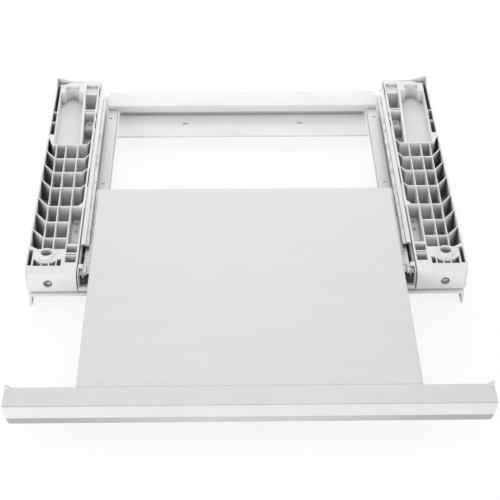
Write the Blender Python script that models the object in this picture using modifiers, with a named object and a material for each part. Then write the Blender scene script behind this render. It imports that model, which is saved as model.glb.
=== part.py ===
"""Stacking kit with a pull-out shelf, which stands between a washer and a dryer.

Two ribbed side housings carry the dryer's feet. Each stands on a base plate whose skirt
hangs over the washer's side. Sheet metal rails and a rear crossbar tie the housings into
one frame, and the shelf runs out on two ball slides. The part is shown with the shelf out.

World frame: X to the right, Y to the back, Z up from the skirts' lower edge, in metres.
The sizes below use three distances: out from the middle plane, back from the housings'
front face, and up from the housings' rim. A height below the rim is negative.
"""
import math

import bmesh
import bpy
from mathutils import Matrix, Vector

# Whole kit
KIT_WIDTH = 0.6116
KIT_DEPTH = 0.543
RIM_HEIGHT = 0.055
DRAWER_REACH = 0.281
GAP = 0.0003
OVERRUN = 0.004
OVERLAP = 0.001
WELD = 0.00001

# Sheet metal
SHEET = 0.0015
THIN_SHEET = 0.0012
SHELF_SHEET = 0.001

# Side housing. Shares out are of its width and run from its inner wall
HOUSING_WIDTH = 0.071
HOUSING_HEIGHT = 0.034
FLOOR_THICKNESS = 0.0035
FOOT_DEPTH = 0.0225
FACE_BAND = 0.010
FACE_SETBACK = 0.0035
FACE_CHAMFER_WIDTH = 0.0058
FACE_CHAMFER_DEPTH = 0.013
SHADOW_GROOVE_HEIGHT = 0.0024
SHADOW_GROOVE_DEPTH = 0.006
LIP_HEIGHT = 0.0127
LIP_PROUD = 0.0006
RIB = 0.0015
INNER_WALL = 0.0024
TOP_PLATE_DEPTH = 0.020
REAR_BLOCK = 0.201

# Rib pattern. Row shares run back over the rib field, and the others are of the housing's width.
# A sweep is how far a cross rib's end at a wall lies behind its middle
RIB_ROW_SHARES = (0.0, 0.0993, 0.2429, 0.3865, 0.5638, 0.7163, 0.8546, 1.0)
OUTER_BEND_SHARES = (0.0986, 0.0, 0.0, 0.0, 0.0, 0.0, 0.0, 0.093)
OUTER_SWEEP_SHARES = (0.1391, 0.3405, 0.3643, 0.3643, 0.3643, 0.3643, 0.3643, 0.4028)
INNER_BEND_SHARE = 0.1225
INNER_SWEEP_SHARES = (0.0, 0.0, 0.0, 0.1831, 0.1463, 0.184, 0.2265, 0.2123)
FIRST_INNER_ROW = 3
LONG_RIB_SHARES = (0.2578, 0.5155, 0.7211)
LONG_RIB_TOE = 0.0034

# Front foot boss with its cup
BOSS_INNER_SHARE = 0.3056
BOSS_OUTER_SHARE = 0.8929
BOSS_RIB_SHARES = (0.4113, 0.5478, 0.6887)
CUP_OUT_SHARE = 0.6127
CUP_RADIUS = 0.0082
CUP_WALL = 0.0024
CUP_COLLAR_RISE = 0.0055
CUP_ROOM_FRONT = 0.0069
DISC_SHARE = 0.82
DISC_SIDE_SHARE = 0.45
CUP_ROOM_BACK = 0.015

# Inner lane of the housing, front part: open slots, then the ledge under the rail's tab
LANE_SLOTS = ((0.028, 0.0445), (0.046, 0.0488), (0.0515, 0.069))
LEDGE_ROOM = 0.013

# Rear foot pocket. Pairs of shares are at its front and its back
POCKET_INNER_SHARES = (0.2732, 0.3507)
POCKET_OUTER_SHARES = (0.8408, 0.8803)
POCKET_REAR = 0.035
NOSE_SIDE_SHARES = (0.4676, 0.7676)
NOSE_REAR = 0.0185
NOSE_RIM_REAR = 0.015
NOSE_RIM_DEPTH = 0.005
NOSE_RIM_RADIUS = 0.002
POCKET_WALL = 0.0034
POCKET_FLOOR_THICKNESS = 0.003
UNDERSIDE_MARGIN = 0.002

# Rear of the housing beside the pocket, in distances forward from its back
NARROW_SLOT_ENDS = (0.132, 0.100, 0.0105)
REAR_LEDGE = (0.131, 0.1027)
DOUBLE_RIB_SLOT = (0.0997, 0.0970)
REAR_CELL = (0.0937, 0.036)
REAR_RECESS = (0.036, 0.012)
REAR_RECESS_DEPTH = 0.0054

# Fin at the rear outer corner, and the step and groove in front of it
FIN_RISE = 0.0075
FIN_LEVEL = 0.0045
FIN_ACROSS = 0.032
FIN_ALONG = 0.024
FIN_STEPS = 8
STEP_SHARES = (0.359, 0.6704, 0.8025)
STEP_DEPTH = 0.004
STEP_REAR = (0.0098, 0.0113)
REAR_GROOVE_WIDTH = 0.001

# Pads on the housing's inner wall, which fill the gap to the rail
FIELD_PAD_SHARES = (0.3759, 0.575)
REAR_PADS = ((0.271, 0.151), (0.129, 0.121), (0.105, 0.051))
PAD_HEIGHT = 0.010

# Base plate with its skirt
PLATE_INSET = 0.0044
PLATE_THICKNESS = 0.0039
PLATE_FRONT = 0.001
SKIRT_THICKNESS = 0.0031
SKIRT_FILLET = 0.005
SKIRT_EDGE_RADIUS = 0.001

# Side rail
RAIL_CLEARANCE = 0.0014
RAIL_FLANGE_WIDTH = 0.0290
RAIL_SLIDE_ROOM = 0.0015
RAIL_FRONT_CLEARANCE = 0.0024
RAIL_END = 0.006
STRIP_WIDTH = 0.0070
STRIP_FRONT = 0.0724
STRIP_END = 0.030
STRIP_TAB = (0.015, 0.024)
WEB_NOTCH_DEPTH = 0.006
FRONT_TAB_SHARES = (0.1596, 0.3723)
FRONT_TAB_RISE = 0.003
FRONT_TAB_SCREW_SHARES = (0.266, 0.3333)
REAR_TAB = (0.1285, 0.1038)
REAR_TAB_RISE = 0.009
REAR_TAB_SCREW = 0.116
TAB_LENGTH = 0.0181
TAB_SCREW_INSET = 0.0059
FLANGE_SLOT_SHARES = (0.4936, 0.8564)
FLANGE_SLOT_INSET = 0.010
FLANGE_SLOT_LENGTH = 0.0055
FLANGE_SLOT_WIDTH = 0.0026

# Rear crossbar, in distances forward from the housings' back and up or down from the rails' flange
CROSS_END = 0.006
CROSS_WEB_PLACE = 0.052
CROSS_FRONT_END = 0.121
CROSS_TOP_RISE = 0.007
CROSS_DROP = 0.010
CROSS_STEP_HEIGHT = 0.005
CROSS_STEP_DEPTH = 0.0035
CROSS_HEM = 0.008
CROSS_HEM_RISE = 0.0008
CROSS_REACH = 0.0152
CROSS_FOOT = 0.015
CROSS_HOLE_SHARE = 0.423
CROSS_HOLE_PLACE = 0.079
CROSS_HOLE_LENGTH = 0.0106
CROSS_HOLE_WIDTH = 0.006
CROSS_COLLAR_WALL = 0.001
CROSS_COLLAR_DEPTH = 0.0025
CROSS_RIVET_INSET = 0.008

# Ball slide: outer member on the rail, inner member on the shelf
SLIDE_FRONT = 0.004
SLIDE_END = 0.055
SLIDE_DEPTH = 0.0107
SLIDE_DROP = 0.003
SLIDE_HEIGHT = 0.0205
SLIDE_LIP = 0.0014
SLIDE_RIVET_FRONT = 0.060
SLIDE_RIVET_END = 0.143
INNER_OVERHANG = 0.018
TIP_CLEARANCE = 0.001
STOP_LENGTH = 0.0082
STOP_HEIGHT = 0.0100
BALL_RADIUS = 0.0018
BALL_PLAY = 0.0001
BALLS_PER_ROW = 3
BALL_PITCH = 0.040
BALL_SEGMENTS = 10
BALL_RINGS = 8
RETAINER_END = 0.002
RETAINER_MARGIN = 0.005
RETAINER_SHEET = 0.0008
RETAINER_CLEARANCE = 0.0005

# Shelf
SHELF_SIDE_ROOM = 0.0048
SHELF_REAR_ROOM = 0.039
SHELF_TOP = 0.0043
SHELF_SKIRT = 0.0248
SHELF_SCREW_FRONT = 0.0322
SHELF_SCREW_END = 0.028

# Front bar and its end caps
BAR_WIDTH = 0.607
BAR_DEPTH = 0.037
BAR_TOP = 0.0052
BAR_FACE_LOW = -0.013
BAR_LOW = -0.027
BAR_LOW_SETBACK = 0.006
BAR_WALL = 0.0025
BAR_WEB = 0.002
BAR_WEB_LOW = -0.020
CAP_WIDTH = 0.008
CAP_SIDE_KNEE = -0.003
CAP_FACE_DRAW = 0.0032
CAP_LOW_DRAW = 0.006
CAP_SPIGOT = 0.012
CAP_SPIGOT_LOW = -0.008
LUG_TOP = 0.009
LUG_DEPTH = 0.004
LUG_LENGTH = 0.0034
BAR_SCREW_SHARES = (-0.694, 0.0, 0.694)
BAR_SCREW_HEIGHT = -0.008

# Fasteners: head radius, head height, shank radius
SCREW_HEAD = 0.0036
SCREW_HEAD_HEIGHT = 0.0018
TAB_SCREW_HEAD = 0.0023
TAB_SCREW_HEAD_HEIGHT = 0.0012
SCREW_SHANK = 0.0016
RIVET_HEAD = 0.0030
RIVET_HEAD_HEIGHT = 0.0010
RIVET_SHANK = 0.0016
CLAMP_HEAD = 0.0055
CLAMP_HEAD_HEIGHT = 0.0032
CLAMP_SHANK = 0.0022
CLAMP_LENGTH = 0.0095
CLAMP_HOLE = 0.0062
CLAMP_SEAT = 0.0078
CLAMP_OUT_SHARE = 0.5521
CLAMP_RISE = 0.0078
TAB_SCREW_FLOOR = 0.0025
BASE_SCREW_LENGTH = 0.011
BASE_SCREW_FRONT = 0.007
BASE_SCREW_END = 0.0085
BASE_SCREW_INSET = 0.0079
BAR_SCREW_LENGTH = 0.0055
HEAD_CHAMFER_SHARE = 0.75
SHARP_ANGLE = 35
FASTENER_STEPS = 12
HOLE_STEPS = 12
ROUND_STEPS = 32


def across(share):
    """Distance out of a share of the housing's width, from its inner wall."""
    return KIT_WIDTH / 2 - HOUSING_WIDTH + share * HOUSING_WIDTH


def forward(distance):
    """Distance back of a place that lies a distance in front of the housings' back."""
    return KIT_DEPTH - distance


def in_field(share):
    """Distance back of a share of the rib field, which lies between the boss and the pocket."""
    return BOSS_BACK + share * RIB_FIELD


# Derived places of the housing
HOUSING_INNER = across(0)
HOUSING_OUTER = across(1)
HOUSING_BASE = -HOUSING_HEIGHT
CELL_FLOOR = HOUSING_BASE + FLOOR_THICKNESS
FACE_LOW = FACE_BAND - HOUSING_HEIGHT
GROOVE_TOP = HOUSING_BASE + SHADOW_GROOVE_HEIGHT
INNER_BEND = across(INNER_BEND_SHARE)
BOSS_INNER = across(BOSS_INNER_SHARE)
BOSS_OUTER = across(BOSS_OUTER_SHARE)
CUP_OUT = across(CUP_OUT_SHARE)
DISC_RADIUS = DISC_SHARE * (CUP_OUT - BOSS_INNER)
CUP_BACK = TOP_PLATE_DEPTH + CUP_ROOM_FRONT + DISC_RADIUS
BOSS_BACK = CUP_BACK + CUP_ROOM_BACK
POCKET_RIB = forward(REAR_BLOCK)
RIB_FIELD = POCKET_RIB - BOSS_BACK
RIB_BACKS = tuple(in_field(share) for share in RIB_ROW_SHARES)
POCKET_FRONT = POCKET_RIB + RIB
POCKET_BACK = forward(POCKET_REAR)
NOSE_BACK = forward(NOSE_REAR)
UNDERSIDE_CEILING = -FOOT_DEPTH - POCKET_FLOOR_THICKNESS
CLAMP_HEIGHT = FACE_LOW + CLAMP_RISE

# Derived places of the frame's metal parts and the base plates
FRONT_Y = (DRAWER_REACH - KIT_DEPTH) / 2
RAIL_OUTER = HOUSING_INNER - RAIL_CLEARANCE
RAIL_INNER = RAIL_OUTER - RAIL_FLANGE_WIDTH
RAIL_WEB_INNER = RAIL_OUTER - SHEET
STRIP_INNER = RAIL_OUTER - STRIP_WIDTH
SLIDE_TOP = -SLIDE_DROP
SLIDE_LOW = SLIDE_TOP - SLIDE_HEIGHT
RAIL_FLANGE_TOP = SLIDE_LOW - RAIL_SLIDE_ROOM
RAIL_TABS = {
    "front": ([in_field(share) for share in FRONT_TAB_SHARES], RAIL_FLANGE_TOP + FRONT_TAB_RISE),
    "rear": ([forward(end) for end in REAR_TAB], RAIL_FLANGE_TOP + REAR_TAB_RISE),
}
TAB_OUTER = RAIL_OUTER + TAB_LENGTH
TAB_SCREW_LENGTH = RAIL_TABS["front"][1] - HOUSING_BASE - TAB_SCREW_FLOOR
PLATE_TOP = HOUSING_BASE - GAP
PLATE_INNER = RAIL_INNER
PLATE_OUTER = HOUSING_OUTER - PLATE_INSET
CROSS_TOP = RAIL_FLANGE_TOP + CROSS_TOP_RISE
CROSS_LOWER_TOP = RAIL_FLANGE_TOP - CROSS_DROP
CROSS_WEB = forward(CROSS_WEB_PLACE)
CROSS_FRONT = forward(CROSS_FRONT_END)
CROSS_HALF = RAIL_INNER + CROSS_REACH

# Derived places of the slides, the shelf and the bar
SLIDE_OUTER = RAIL_WEB_INNER - GAP
SLIDE_OUTER_LIP = SLIDE_OUTER - SLIDE_DEPTH
SLIDE_BACK = forward(SLIDE_END)
SLIDE_RIVETS = (SLIDE_RIVET_FRONT, forward(SLIDE_RIVET_END))
STOP_BACK = SLIDE_FRONT + GAP + STOP_LENGTH
STOP_LOW = SLIDE_LOW + THIN_SHEET + GAP
STOP_TOP = STOP_LOW + STOP_HEIGHT
RACE_HEIGHT = 2 * (BALL_RADIUS + GAP)
BALL_ROWS = (SLIDE_TOP - THIN_SHEET - RACE_HEIGHT / 2, SLIDE_LOW + THIN_SHEET + RACE_HEIGHT / 2)
BALL_OUT = SLIDE_OUTER_LIP + THIN_SHEET + BALL_RADIUS + BALL_PLAY
RETAINER_INNER = SLIDE_OUTER_LIP + GAP
RETAINER_OUTER = SLIDE_OUTER - THIN_SHEET - GAP - RIVET_HEAD_HEIGHT - RETAINER_CLEARANCE
SHELF_HALF = SLIDE_OUTER_LIP - SHELF_SIDE_ROOM
BAR_FRONT = -DRAWER_REACH
BAR_BACK = BAR_FRONT + BAR_DEPTH
BAR_HALF = BAR_WIDTH / 2
CAP_INNER = BAR_HALF - CAP_WIDTH
SHELF_BACK = BAR_BACK + CROSS_WEB - SHELF_REAR_ROOM
INNER_WEB = SHELF_HALF + GAP
INNER_TIP = RETAINER_OUTER - RETAINER_SHEET - TIP_CLEARANCE
INNER_FRONT = STOP_BACK + GAP
INNER_BACK = SHELF_BACK + INNER_OVERHANG
INNER_TOP = SLIDE_TOP - THIN_SHEET - RACE_HEIGHT
INNER_LOW = SLIDE_LOW + THIN_SHEET + RACE_HEIGHT
SHELF_SCREWS = (INNER_FRONT + SHELF_SCREW_FRONT, SHELF_BACK - SHELF_SCREW_END)
RETAINER_BACK = INNER_BACK - RETAINER_END
RETAINER_FRONT = RETAINER_BACK - (BALLS_PER_ROW - 1) * BALL_PITCH - 2 * RETAINER_MARGIN
SIDES = {"left": -1, "right": 1}

# How an outline's two axes and its extrusion run: across, back or up
PLANES = {
    "plan": (Vector((1, 0, 0)), Vector((0, 1, 0)), Vector((0, 0, 1))),
    "front": (Vector((1, 0, 0)), Vector((0, 0, 1)), Vector((0, 1, 0))),
    "side": (Vector((0, 1, 0)), Vector((0, 0, 1)), Vector((1, 0, 0))),
}


def clear_scene():
    """Remove every object that the file opened with."""
    for item in list(bpy.data.objects):
        bpy.data.objects.remove(item, do_unlink=True)


def new_collection(name):
    """A collection linked to the scene."""
    collection = bpy.data.collections.new(name)
    bpy.context.scene.collection.children.link(collection)
    return collection


def new_material(name, colour, roughness, metallic=0.0):
    """A plain surface with one colour."""
    material = bpy.data.materials.new(name)
    material.use_nodes = True
    shader = material.node_tree.nodes["Principled BSDF"]
    shader.inputs["Base Color"].default_value = (*colour, 1.0)
    shader.inputs["Roughness"].default_value = roughness
    shader.inputs["Metallic"].default_value = metallic
    material.diffuse_color = (*colour, 1.0)
    return material


def closed(mesh):
    """The mesh with its loose caps welded and its faces pointing out."""
    work = bmesh.new()
    work.from_mesh(mesh)
    bmesh.ops.remove_doubles(work, verts=work.verts, dist=WELD)
    bmesh.ops.recalc_face_normals(work, faces=work.faces)
    work.to_mesh(mesh)
    work.free()
    return mesh


def evaluated(holder):
    """The finished mesh of a helper object, which is then removed."""
    depsgraph = bpy.context.evaluated_depsgraph_get()
    mesh = bpy.data.meshes.new_from_object(holder.evaluated_get(depsgraph))
    data = holder.data
    bpy.data.objects.remove(holder)
    if isinstance(data, bpy.types.Curve):
        bpy.data.curves.remove(data)
    else:
        bpy.data.meshes.remove(data)
    return mesh


def prism(name, outlines, low, high, plane, side=1):
    """Flat outlines, filled and extruded from low to high, on the side given by its sign."""
    curve = bpy.data.curves.new(name, "CURVE")
    curve.dimensions = "2D"
    curve.fill_mode = "BOTH"
    curve.extrude = (high - low) / 2
    for outline in outlines:
        spline = curve.splines.new("POLY")
        spline.points.add(len(outline) - 1)
        for point, place in zip(spline.points, outline):
            point.co = (*place, 0, 1)
        spline.use_cyclic_u = True
    holder = bpy.data.objects.new(name, curve)
    bpy.context.scene.collection.objects.link(holder)
    mesh = evaluated(holder)
    mirror = Matrix.Diagonal((side, 1, 1, 1))
    axes = Matrix(PLANES[plane]).transposed().to_4x4()
    lift = Matrix.Translation((0, 0, (low + high) / 2))
    mesh.transform(mirror @ axes @ lift)
    return closed(mesh)


def rectangle(first, second):
    """Four corners of a rectangle from its ranges along an outline's two axes."""
    return [(first[0], second[0]), (first[1], second[0]), (first[1], second[1]), (first[0], second[1])]


def box(name, out, back, up, side=1):
    """A block from its ranges out, back and up."""
    return prism(name, [rectangle(out, back)], *up, "plan", side)


def arc(centre, radius, start, end, steps):
    """Points of an arc, with its angles in degrees."""
    angles = [math.radians(start + (end - start) * step / steps) for step in range(steps + 1)]
    return [(centre[0] + radius * math.cos(a), centre[1] + radius * math.sin(a)) for a in angles]


def slot_outline(centre, length, width, along_first=True):
    """A slot with round ends."""
    reach = (length - width) / 2
    outline = arc((centre[0] + reach, centre[1]), width / 2, -90, 90, HOLE_STEPS // 2)
    outline += arc((centre[0] - reach, centre[1]), width / 2, 90, 270, HOLE_STEPS // 2)
    if along_first:
        return outline
    return [(centre[0] + b - centre[1], centre[1] + a - centre[0]) for a, b in outline]


def round_bars(name, places, radius, direction, steps=HOLE_STEPS):
    """Round bars, each from a start point along a direction that also gives its length."""
    work = bmesh.new()
    run = Vector(direction)
    turn = Vector((0, 0, 1)).rotation_difference(run).to_matrix().to_4x4()
    for place in places:
        middle = Vector(place) + run / 2
        bmesh.ops.create_cone(work, cap_ends=True, segments=steps, radius1=radius, radius2=radius,
                              depth=run.length, matrix=Matrix.Translation(middle) @ turn)
    mesh = bpy.data.meshes.new(name)
    work.to_mesh(mesh)
    work.free()
    return mesh


def inset(outline, distance):
    """The outline with every edge moved inwards by one distance."""
    area = sum(a[0] * b[1] - b[0] * a[1] for a, b in zip(outline, outline[1:] + outline[:1]))
    turn = math.copysign(1, area)
    result = []
    for index, corner in enumerate(outline):
        before = (Vector(corner) - Vector(outline[index - 1])).normalized()
        after = (Vector(outline[(index + 1) % len(outline)]) - Vector(corner)).normalized()
        first = Vector((-before.y, before.x)) * turn
        second = Vector((-after.y, after.x)) * turn
        mitre = (first + second) / (1 + first.dot(second))
        result.append(tuple(Vector(corner) + mitre * distance))
    return result


class Builder:
    """Makes the named pieces of the kit and hangs them on their empties."""

    def __init__(self):
        self.parts = new_collection("stacking_kit")
        self.cutters = new_collection("cutters")
        self.frame = self.empty("frame_origin", None, (0, FRONT_Y, RIM_HEIGHT))
        self.drawer = self.empty("drawer_axis", self.frame, (0, 0, 0))
        self.cages = {name: self.empty(f"cage_axis_{name}", self.frame, (0, 0, 0)) for name in SIDES}
        self.white_plastic = new_material("white_plastic", (0.80, 0.80, 0.80), 0.45)
        self.white_paint = new_material("white_paint", (0.78, 0.78, 0.78), 0.35)
        self.shelf_paint = new_material("shelf_paint", (0.74, 0.74, 0.74), 0.40)
        self.bar_plastic = new_material("bar_plastic", (0.76, 0.76, 0.76), 0.35)
        self.zinc = new_material("zinc_steel", (0.62, 0.62, 0.63), 0.32, 1.0)
        self.steel = new_material("polished_steel", (0.70, 0.70, 0.71), 0.18, 1.0)
        self.dark = new_material("dark_plastic", (0.05, 0.05, 0.055), 0.55)

    def empty(self, name, parent, place):
        """An empty that pieces hang on."""
        item = bpy.data.objects.new(name, None)
        item.location = place
        item.parent = parent
        self.parts.objects.link(item)
        return item

    def piece(self, name, mesh, material, parent):
        """A named piece of the kit."""
        if not mesh.materials:
            mesh.materials.append(material)
        item = bpy.data.objects.new(name, mesh)
        item.parent = parent
        self.parts.objects.link(item)
        return item

    def combine(self, item, mesh, operation="DIFFERENCE"):
        """Cut a mesh out of a piece, or join it to the piece."""
        tool = bpy.data.objects.new(f"{item.name}_{mesh.name}", mesh)
        tool.parent = item.parent
        tool.hide_render = True
        tool.display_type = "WIRE"
        self.cutters.objects.link(tool)
        step = item.modifiers.new(mesh.name, "BOOLEAN")
        step.operation = operation
        step.solver = "EXACT"
        step.object = tool

    def join(self, item, mesh):
        """Join a mesh to a piece."""
        self.combine(item, mesh, "UNION")


def long_rib(index, back):
    """Distance out of a long rib's middle line at a distance back."""
    return across(LONG_RIB_SHARES[index]) + LONG_RIB_TOE * (back - BOSS_BACK) / RIB_FIELD


def outer_bend(row):
    """Distance out at which a cross rib starts to sweep back to the outer wall."""
    return long_rib(len(LONG_RIB_SHARES) - 1, RIB_BACKS[row]) + OUTER_BEND_SHARES[row] * HOUSING_WIDTH


def rib_back(row, out):
    """Distance back of a cross rib's middle line at a distance out."""
    bend = outer_bend(row)
    outer_share = OUTER_SWEEP_SHARES[row] * max(0.0, out - bend) / (HOUSING_OUTER - bend)
    inner_share = INNER_SWEEP_SHARES[row] * max(0.0, INNER_BEND - out) / (INNER_BEND - HOUSING_INNER)
    return RIB_BACKS[row] + (outer_share + inner_share) * HOUSING_WIDTH


def rib_edge(row, start, end):
    """Points of a cross rib's middle line between two distances out."""
    bends = [bend for bend in (INNER_BEND, outer_bend(row)) if start + RIB < bend < end - RIB]
    return [(out, rib_back(row, out)) for out in [start, *bends, end]]


def lane_limits(lane, back):
    """Middle lines on both sides of a lane: walls or long ribs."""
    walls = (HOUSING_INNER + INNER_WALL - RIB / 2, HOUSING_OUTER - LIP_PROUD - RIB / 2)
    lines = [walls[0], *(long_rib(index, back) for index in range(len(LONG_RIB_SHARES))), walls[1]]
    return lines[lane], lines[lane + 1]


def rib_cells():
    """Outlines of the open cells between the cross ribs and the long ribs."""
    cells = []
    for row in range(len(RIB_BACKS) - 1):
        for lane in range(len(LONG_RIB_SHARES) + 1):
            if lane == 0 and row < FIRST_INNER_ROW:
                continue
            front = rib_edge(row, *lane_limits(lane, RIB_BACKS[row]))
            back = rib_edge(row + 1, *lane_limits(lane, RIB_BACKS[row + 1]))
            cells.append(inset(front + back[::-1], RIB / 2))
    return cells


def boss_cells():
    """Outlines of the open corners in front of the foot boss."""
    limit = (DISC_SIDE_SHARE * DISC_RADIUS) ** 2
    edges = [BOSS_INNER, *(across(share) for share in BOSS_RIB_SHARES), BOSS_OUTER - RIB]
    cells = []
    for inner, outer in zip(edges, edges[1:]):
        start = inner + RIB / 2
        end = outer - RIB / 2
        outs = [start + (end - start) * step / 4 for step in range(5)]
        squares = [max(DISC_RADIUS ** 2 - (out - CUP_OUT) ** 2, limit) for out in outs]
        disc = [(out, CUP_BACK - math.sqrt(square)) for out, square in zip(outs, squares)]
        cells.append([(end, TOP_PLATE_DEPTH + RIB / 4), (start, TOP_PLATE_DEPTH + RIB / 4), *disc])
    return cells


def pocket_side(back, shares):
    """Distance out of a pocket side at a distance back. Behind the pocket it stays as it is."""
    run = min(1.0, (back - POCKET_FRONT) / (POCKET_BACK - POCKET_FRONT))
    return across(shares[0] + (shares[1] - shares[0]) * run)


def pocket_outline():
    """The rear foot pocket: a tapered recess with a half-round nose at the back."""
    nose_inner, nose_outer = (across(share) for share in NOSE_SIDE_SHARES)
    radius = (nose_outer - nose_inner) / 2
    inner, outer = ([pocket_side(back, shares) for back in (POCKET_FRONT, POCKET_BACK)]
                    for shares in (POCKET_INNER_SHARES, POCKET_OUTER_SHARES))
    nose = arc((nose_inner + radius, NOSE_BACK - radius), radius, 0, 180, ROUND_STEPS // 2)
    return [(inner[0], POCKET_FRONT), (outer[0], POCKET_FRONT), (outer[1], POCKET_BACK),
            (nose_outer, POCKET_BACK), *nose, (nose_inner, POCKET_BACK), (inner[1], POCKET_BACK)]


def nose_rim_outline():
    """The shallow wider rim of the pocket's nose."""
    inner, outer = across(NOSE_SIDE_SHARES[0]) - GAP, across(NOSE_SIDE_SHARES[1]) + GAP
    radius = NOSE_RIM_RADIUS
    back = forward(NOSE_RIM_REAR)
    front = POCKET_BACK - OVERLAP
    corners = arc((outer - radius, back - radius), radius, 0, 90, HOLE_STEPS // 4)
    corners += arc((inner + radius, back - radius), radius, 90, 180, HOLE_STEPS // 4)
    return [(inner, front), (outer, front), *corners]


def rear_step_outline():
    """The low step beside the corner fin, with the groove along the rear wall."""
    limit = HOUSING_OUTER - LIP_PROUD - RIB
    wall = KIT_DEPTH - RIB - GAP
    groove = wall - REAR_GROOVE_WIDTH
    end, bend, corner = (across(share) for share in STEP_SHARES)
    corner_back, limit_back = (forward(place) for place in STEP_REAR)
    return [(end, wall), (end, groove), (bend, groove), (corner, corner_back), (limit, limit_back),
            (limit, wall)]


def side_cells():
    """Outlines of the narrow slots outside the pocket and outside the boss."""
    outer = HOUSING_OUTER - LIP_PROUD - RIB / 2
    ends = [rib_back(len(RIB_BACKS) - 1, HOUSING_OUTER) + RIB, *(forward(end) for end in NARROW_SLOT_ENDS)]
    cells = []
    for front, back in zip(ends, ends[1:]):
        inner = [pocket_side(place, POCKET_OUTER_SHARES) + RIB / 2 for place in (front, back)]
        cells.append(inset([(inner[0], front), (outer, front), (outer, back), (inner[1], back)], RIB / 2))
    return [*cells, rectangle((BOSS_OUTER, outer - RIB / 2), (TOP_PLATE_DEPTH + RIB, BOSS_BACK))]


def lane_cell(front, back, margin=0.0):
    """One cell of the inner lane beside the boss or the pocket, drawn in by a margin on its outer side."""
    inner = HOUSING_INNER + INNER_WALL
    outers = []
    for place in (front, back):
        if place > POCKET_FRONT:
            outers.append(pocket_side(place, POCKET_INNER_SHARES) - POCKET_WALL - margin)
        else:
            outers.append(long_rib(0, place) - RIB / 2 - margin)
    return [(inner, front), (outers[0], front), (outers[1], back), (inner, back)]


def inner_lane_cells():
    """Outlines of the deep cells in the inner lane that the rib pattern leaves out."""
    last = len(RIB_BACKS) - 1
    start, end = HOUSING_INNER + INNER_WALL, pocket_side(POCKET_FRONT, POCKET_INNER_SHARES) - POCKET_WALL
    edge = [(out, back + RIB / 2) for out, back in rib_edge(last, start, end)]
    ledge = lane_cell(RIB_BACKS[last], forward(REAR_LEDGE[0]))
    behind_rib = [*edge, ledge[2], ledge[3]]
    rear = [[forward(place) for place in span] for span in (DOUBLE_RIB_SLOT, REAR_CELL)]
    return [behind_rib, *(lane_cell(*span) for span in [*LANE_SLOTS, *rear])]


def base_screw_places():
    """Places of the screws that hold the base plate, out and back."""
    out = PLATE_OUTER - BASE_SCREW_INSET
    return [(out, BOSS_BACK - BASE_SCREW_FRONT), (out, forward(BASE_SCREW_END))]


def tab_screw_places():
    """Out, back and tab top of each screw that holds a rail tab."""
    out = TAB_OUTER - TAB_SCREW_INSET
    fronts = [(out, in_field(share), RAIL_TABS["front"][1]) for share in FRONT_TAB_SCREW_SHARES]
    return [*fronts, (out, forward(REAR_TAB_SCREW), RAIL_TABS["rear"][1])]


def housing_shell(side):
    """The housing before it is hollowed: its side profile, extruded across."""
    outline = [(0, 0), (KIT_DEPTH, 0), (KIT_DEPTH, HOUSING_BASE),
               (FACE_SETBACK + SHADOW_GROOVE_DEPTH, HOUSING_BASE),
               (FACE_SETBACK + SHADOW_GROOVE_DEPTH, GROOVE_TOP), (FACE_SETBACK, GROOVE_TOP),
               (FACE_SETBACK, FACE_LOW), (0, FACE_LOW)]
    return prism("shell", [outline], HOUSING_INNER, HOUSING_OUTER, "side", side)


def add_housing_solids(builder, item, side):
    """Join the corner fin, the wall pads and the cup's collar to the housing."""
    outer = HOUSING_OUTER
    shares = [step / FIN_STEPS for step in range(FIN_STEPS + 1)]
    curve = [(outer - FIN_ACROSS * share, FIN_RISE * math.cos(math.pi * share / 2) ** 2) for share in shares]
    across = [(outer, -RIB), *curve[:-1], (outer - FIN_ACROSS, 0), (outer - FIN_ACROSS, -RIB)]
    along = [(KIT_DEPTH, -RIB), (KIT_DEPTH, FIN_RISE), (KIT_DEPTH - FIN_LEVEL, FIN_RISE),
             (KIT_DEPTH - FIN_ALONG, 0), (KIT_DEPTH - FIN_ALONG, -RIB)]
    builder.join(item, prism("rear_fin", [across], KIT_DEPTH - RIB, KIT_DEPTH, "front", side))
    builder.join(item, prism("side_fin", [along], outer - RIB, outer, "side", side))
    spans = [[in_field(share) for share in FIELD_PAD_SHARES]]
    spans += [[forward(end) for end in pad] for pad in REAR_PADS]
    pads = [rectangle((RAIL_OUTER + GAP, HOUSING_INNER + RIB / 2), span) for span in spans]
    builder.join(item, prism("pads", pads, -PAD_HEIGHT, 0, "plan", side))
    collar = (side * CUP_OUT, CUP_BACK, -RIB)
    builder.join(item, round_bars("collar", [collar], CUP_RADIUS + CUP_WALL, (0, 0, RIB + CUP_COLLAR_RISE),
                                  ROUND_STEPS))


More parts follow.
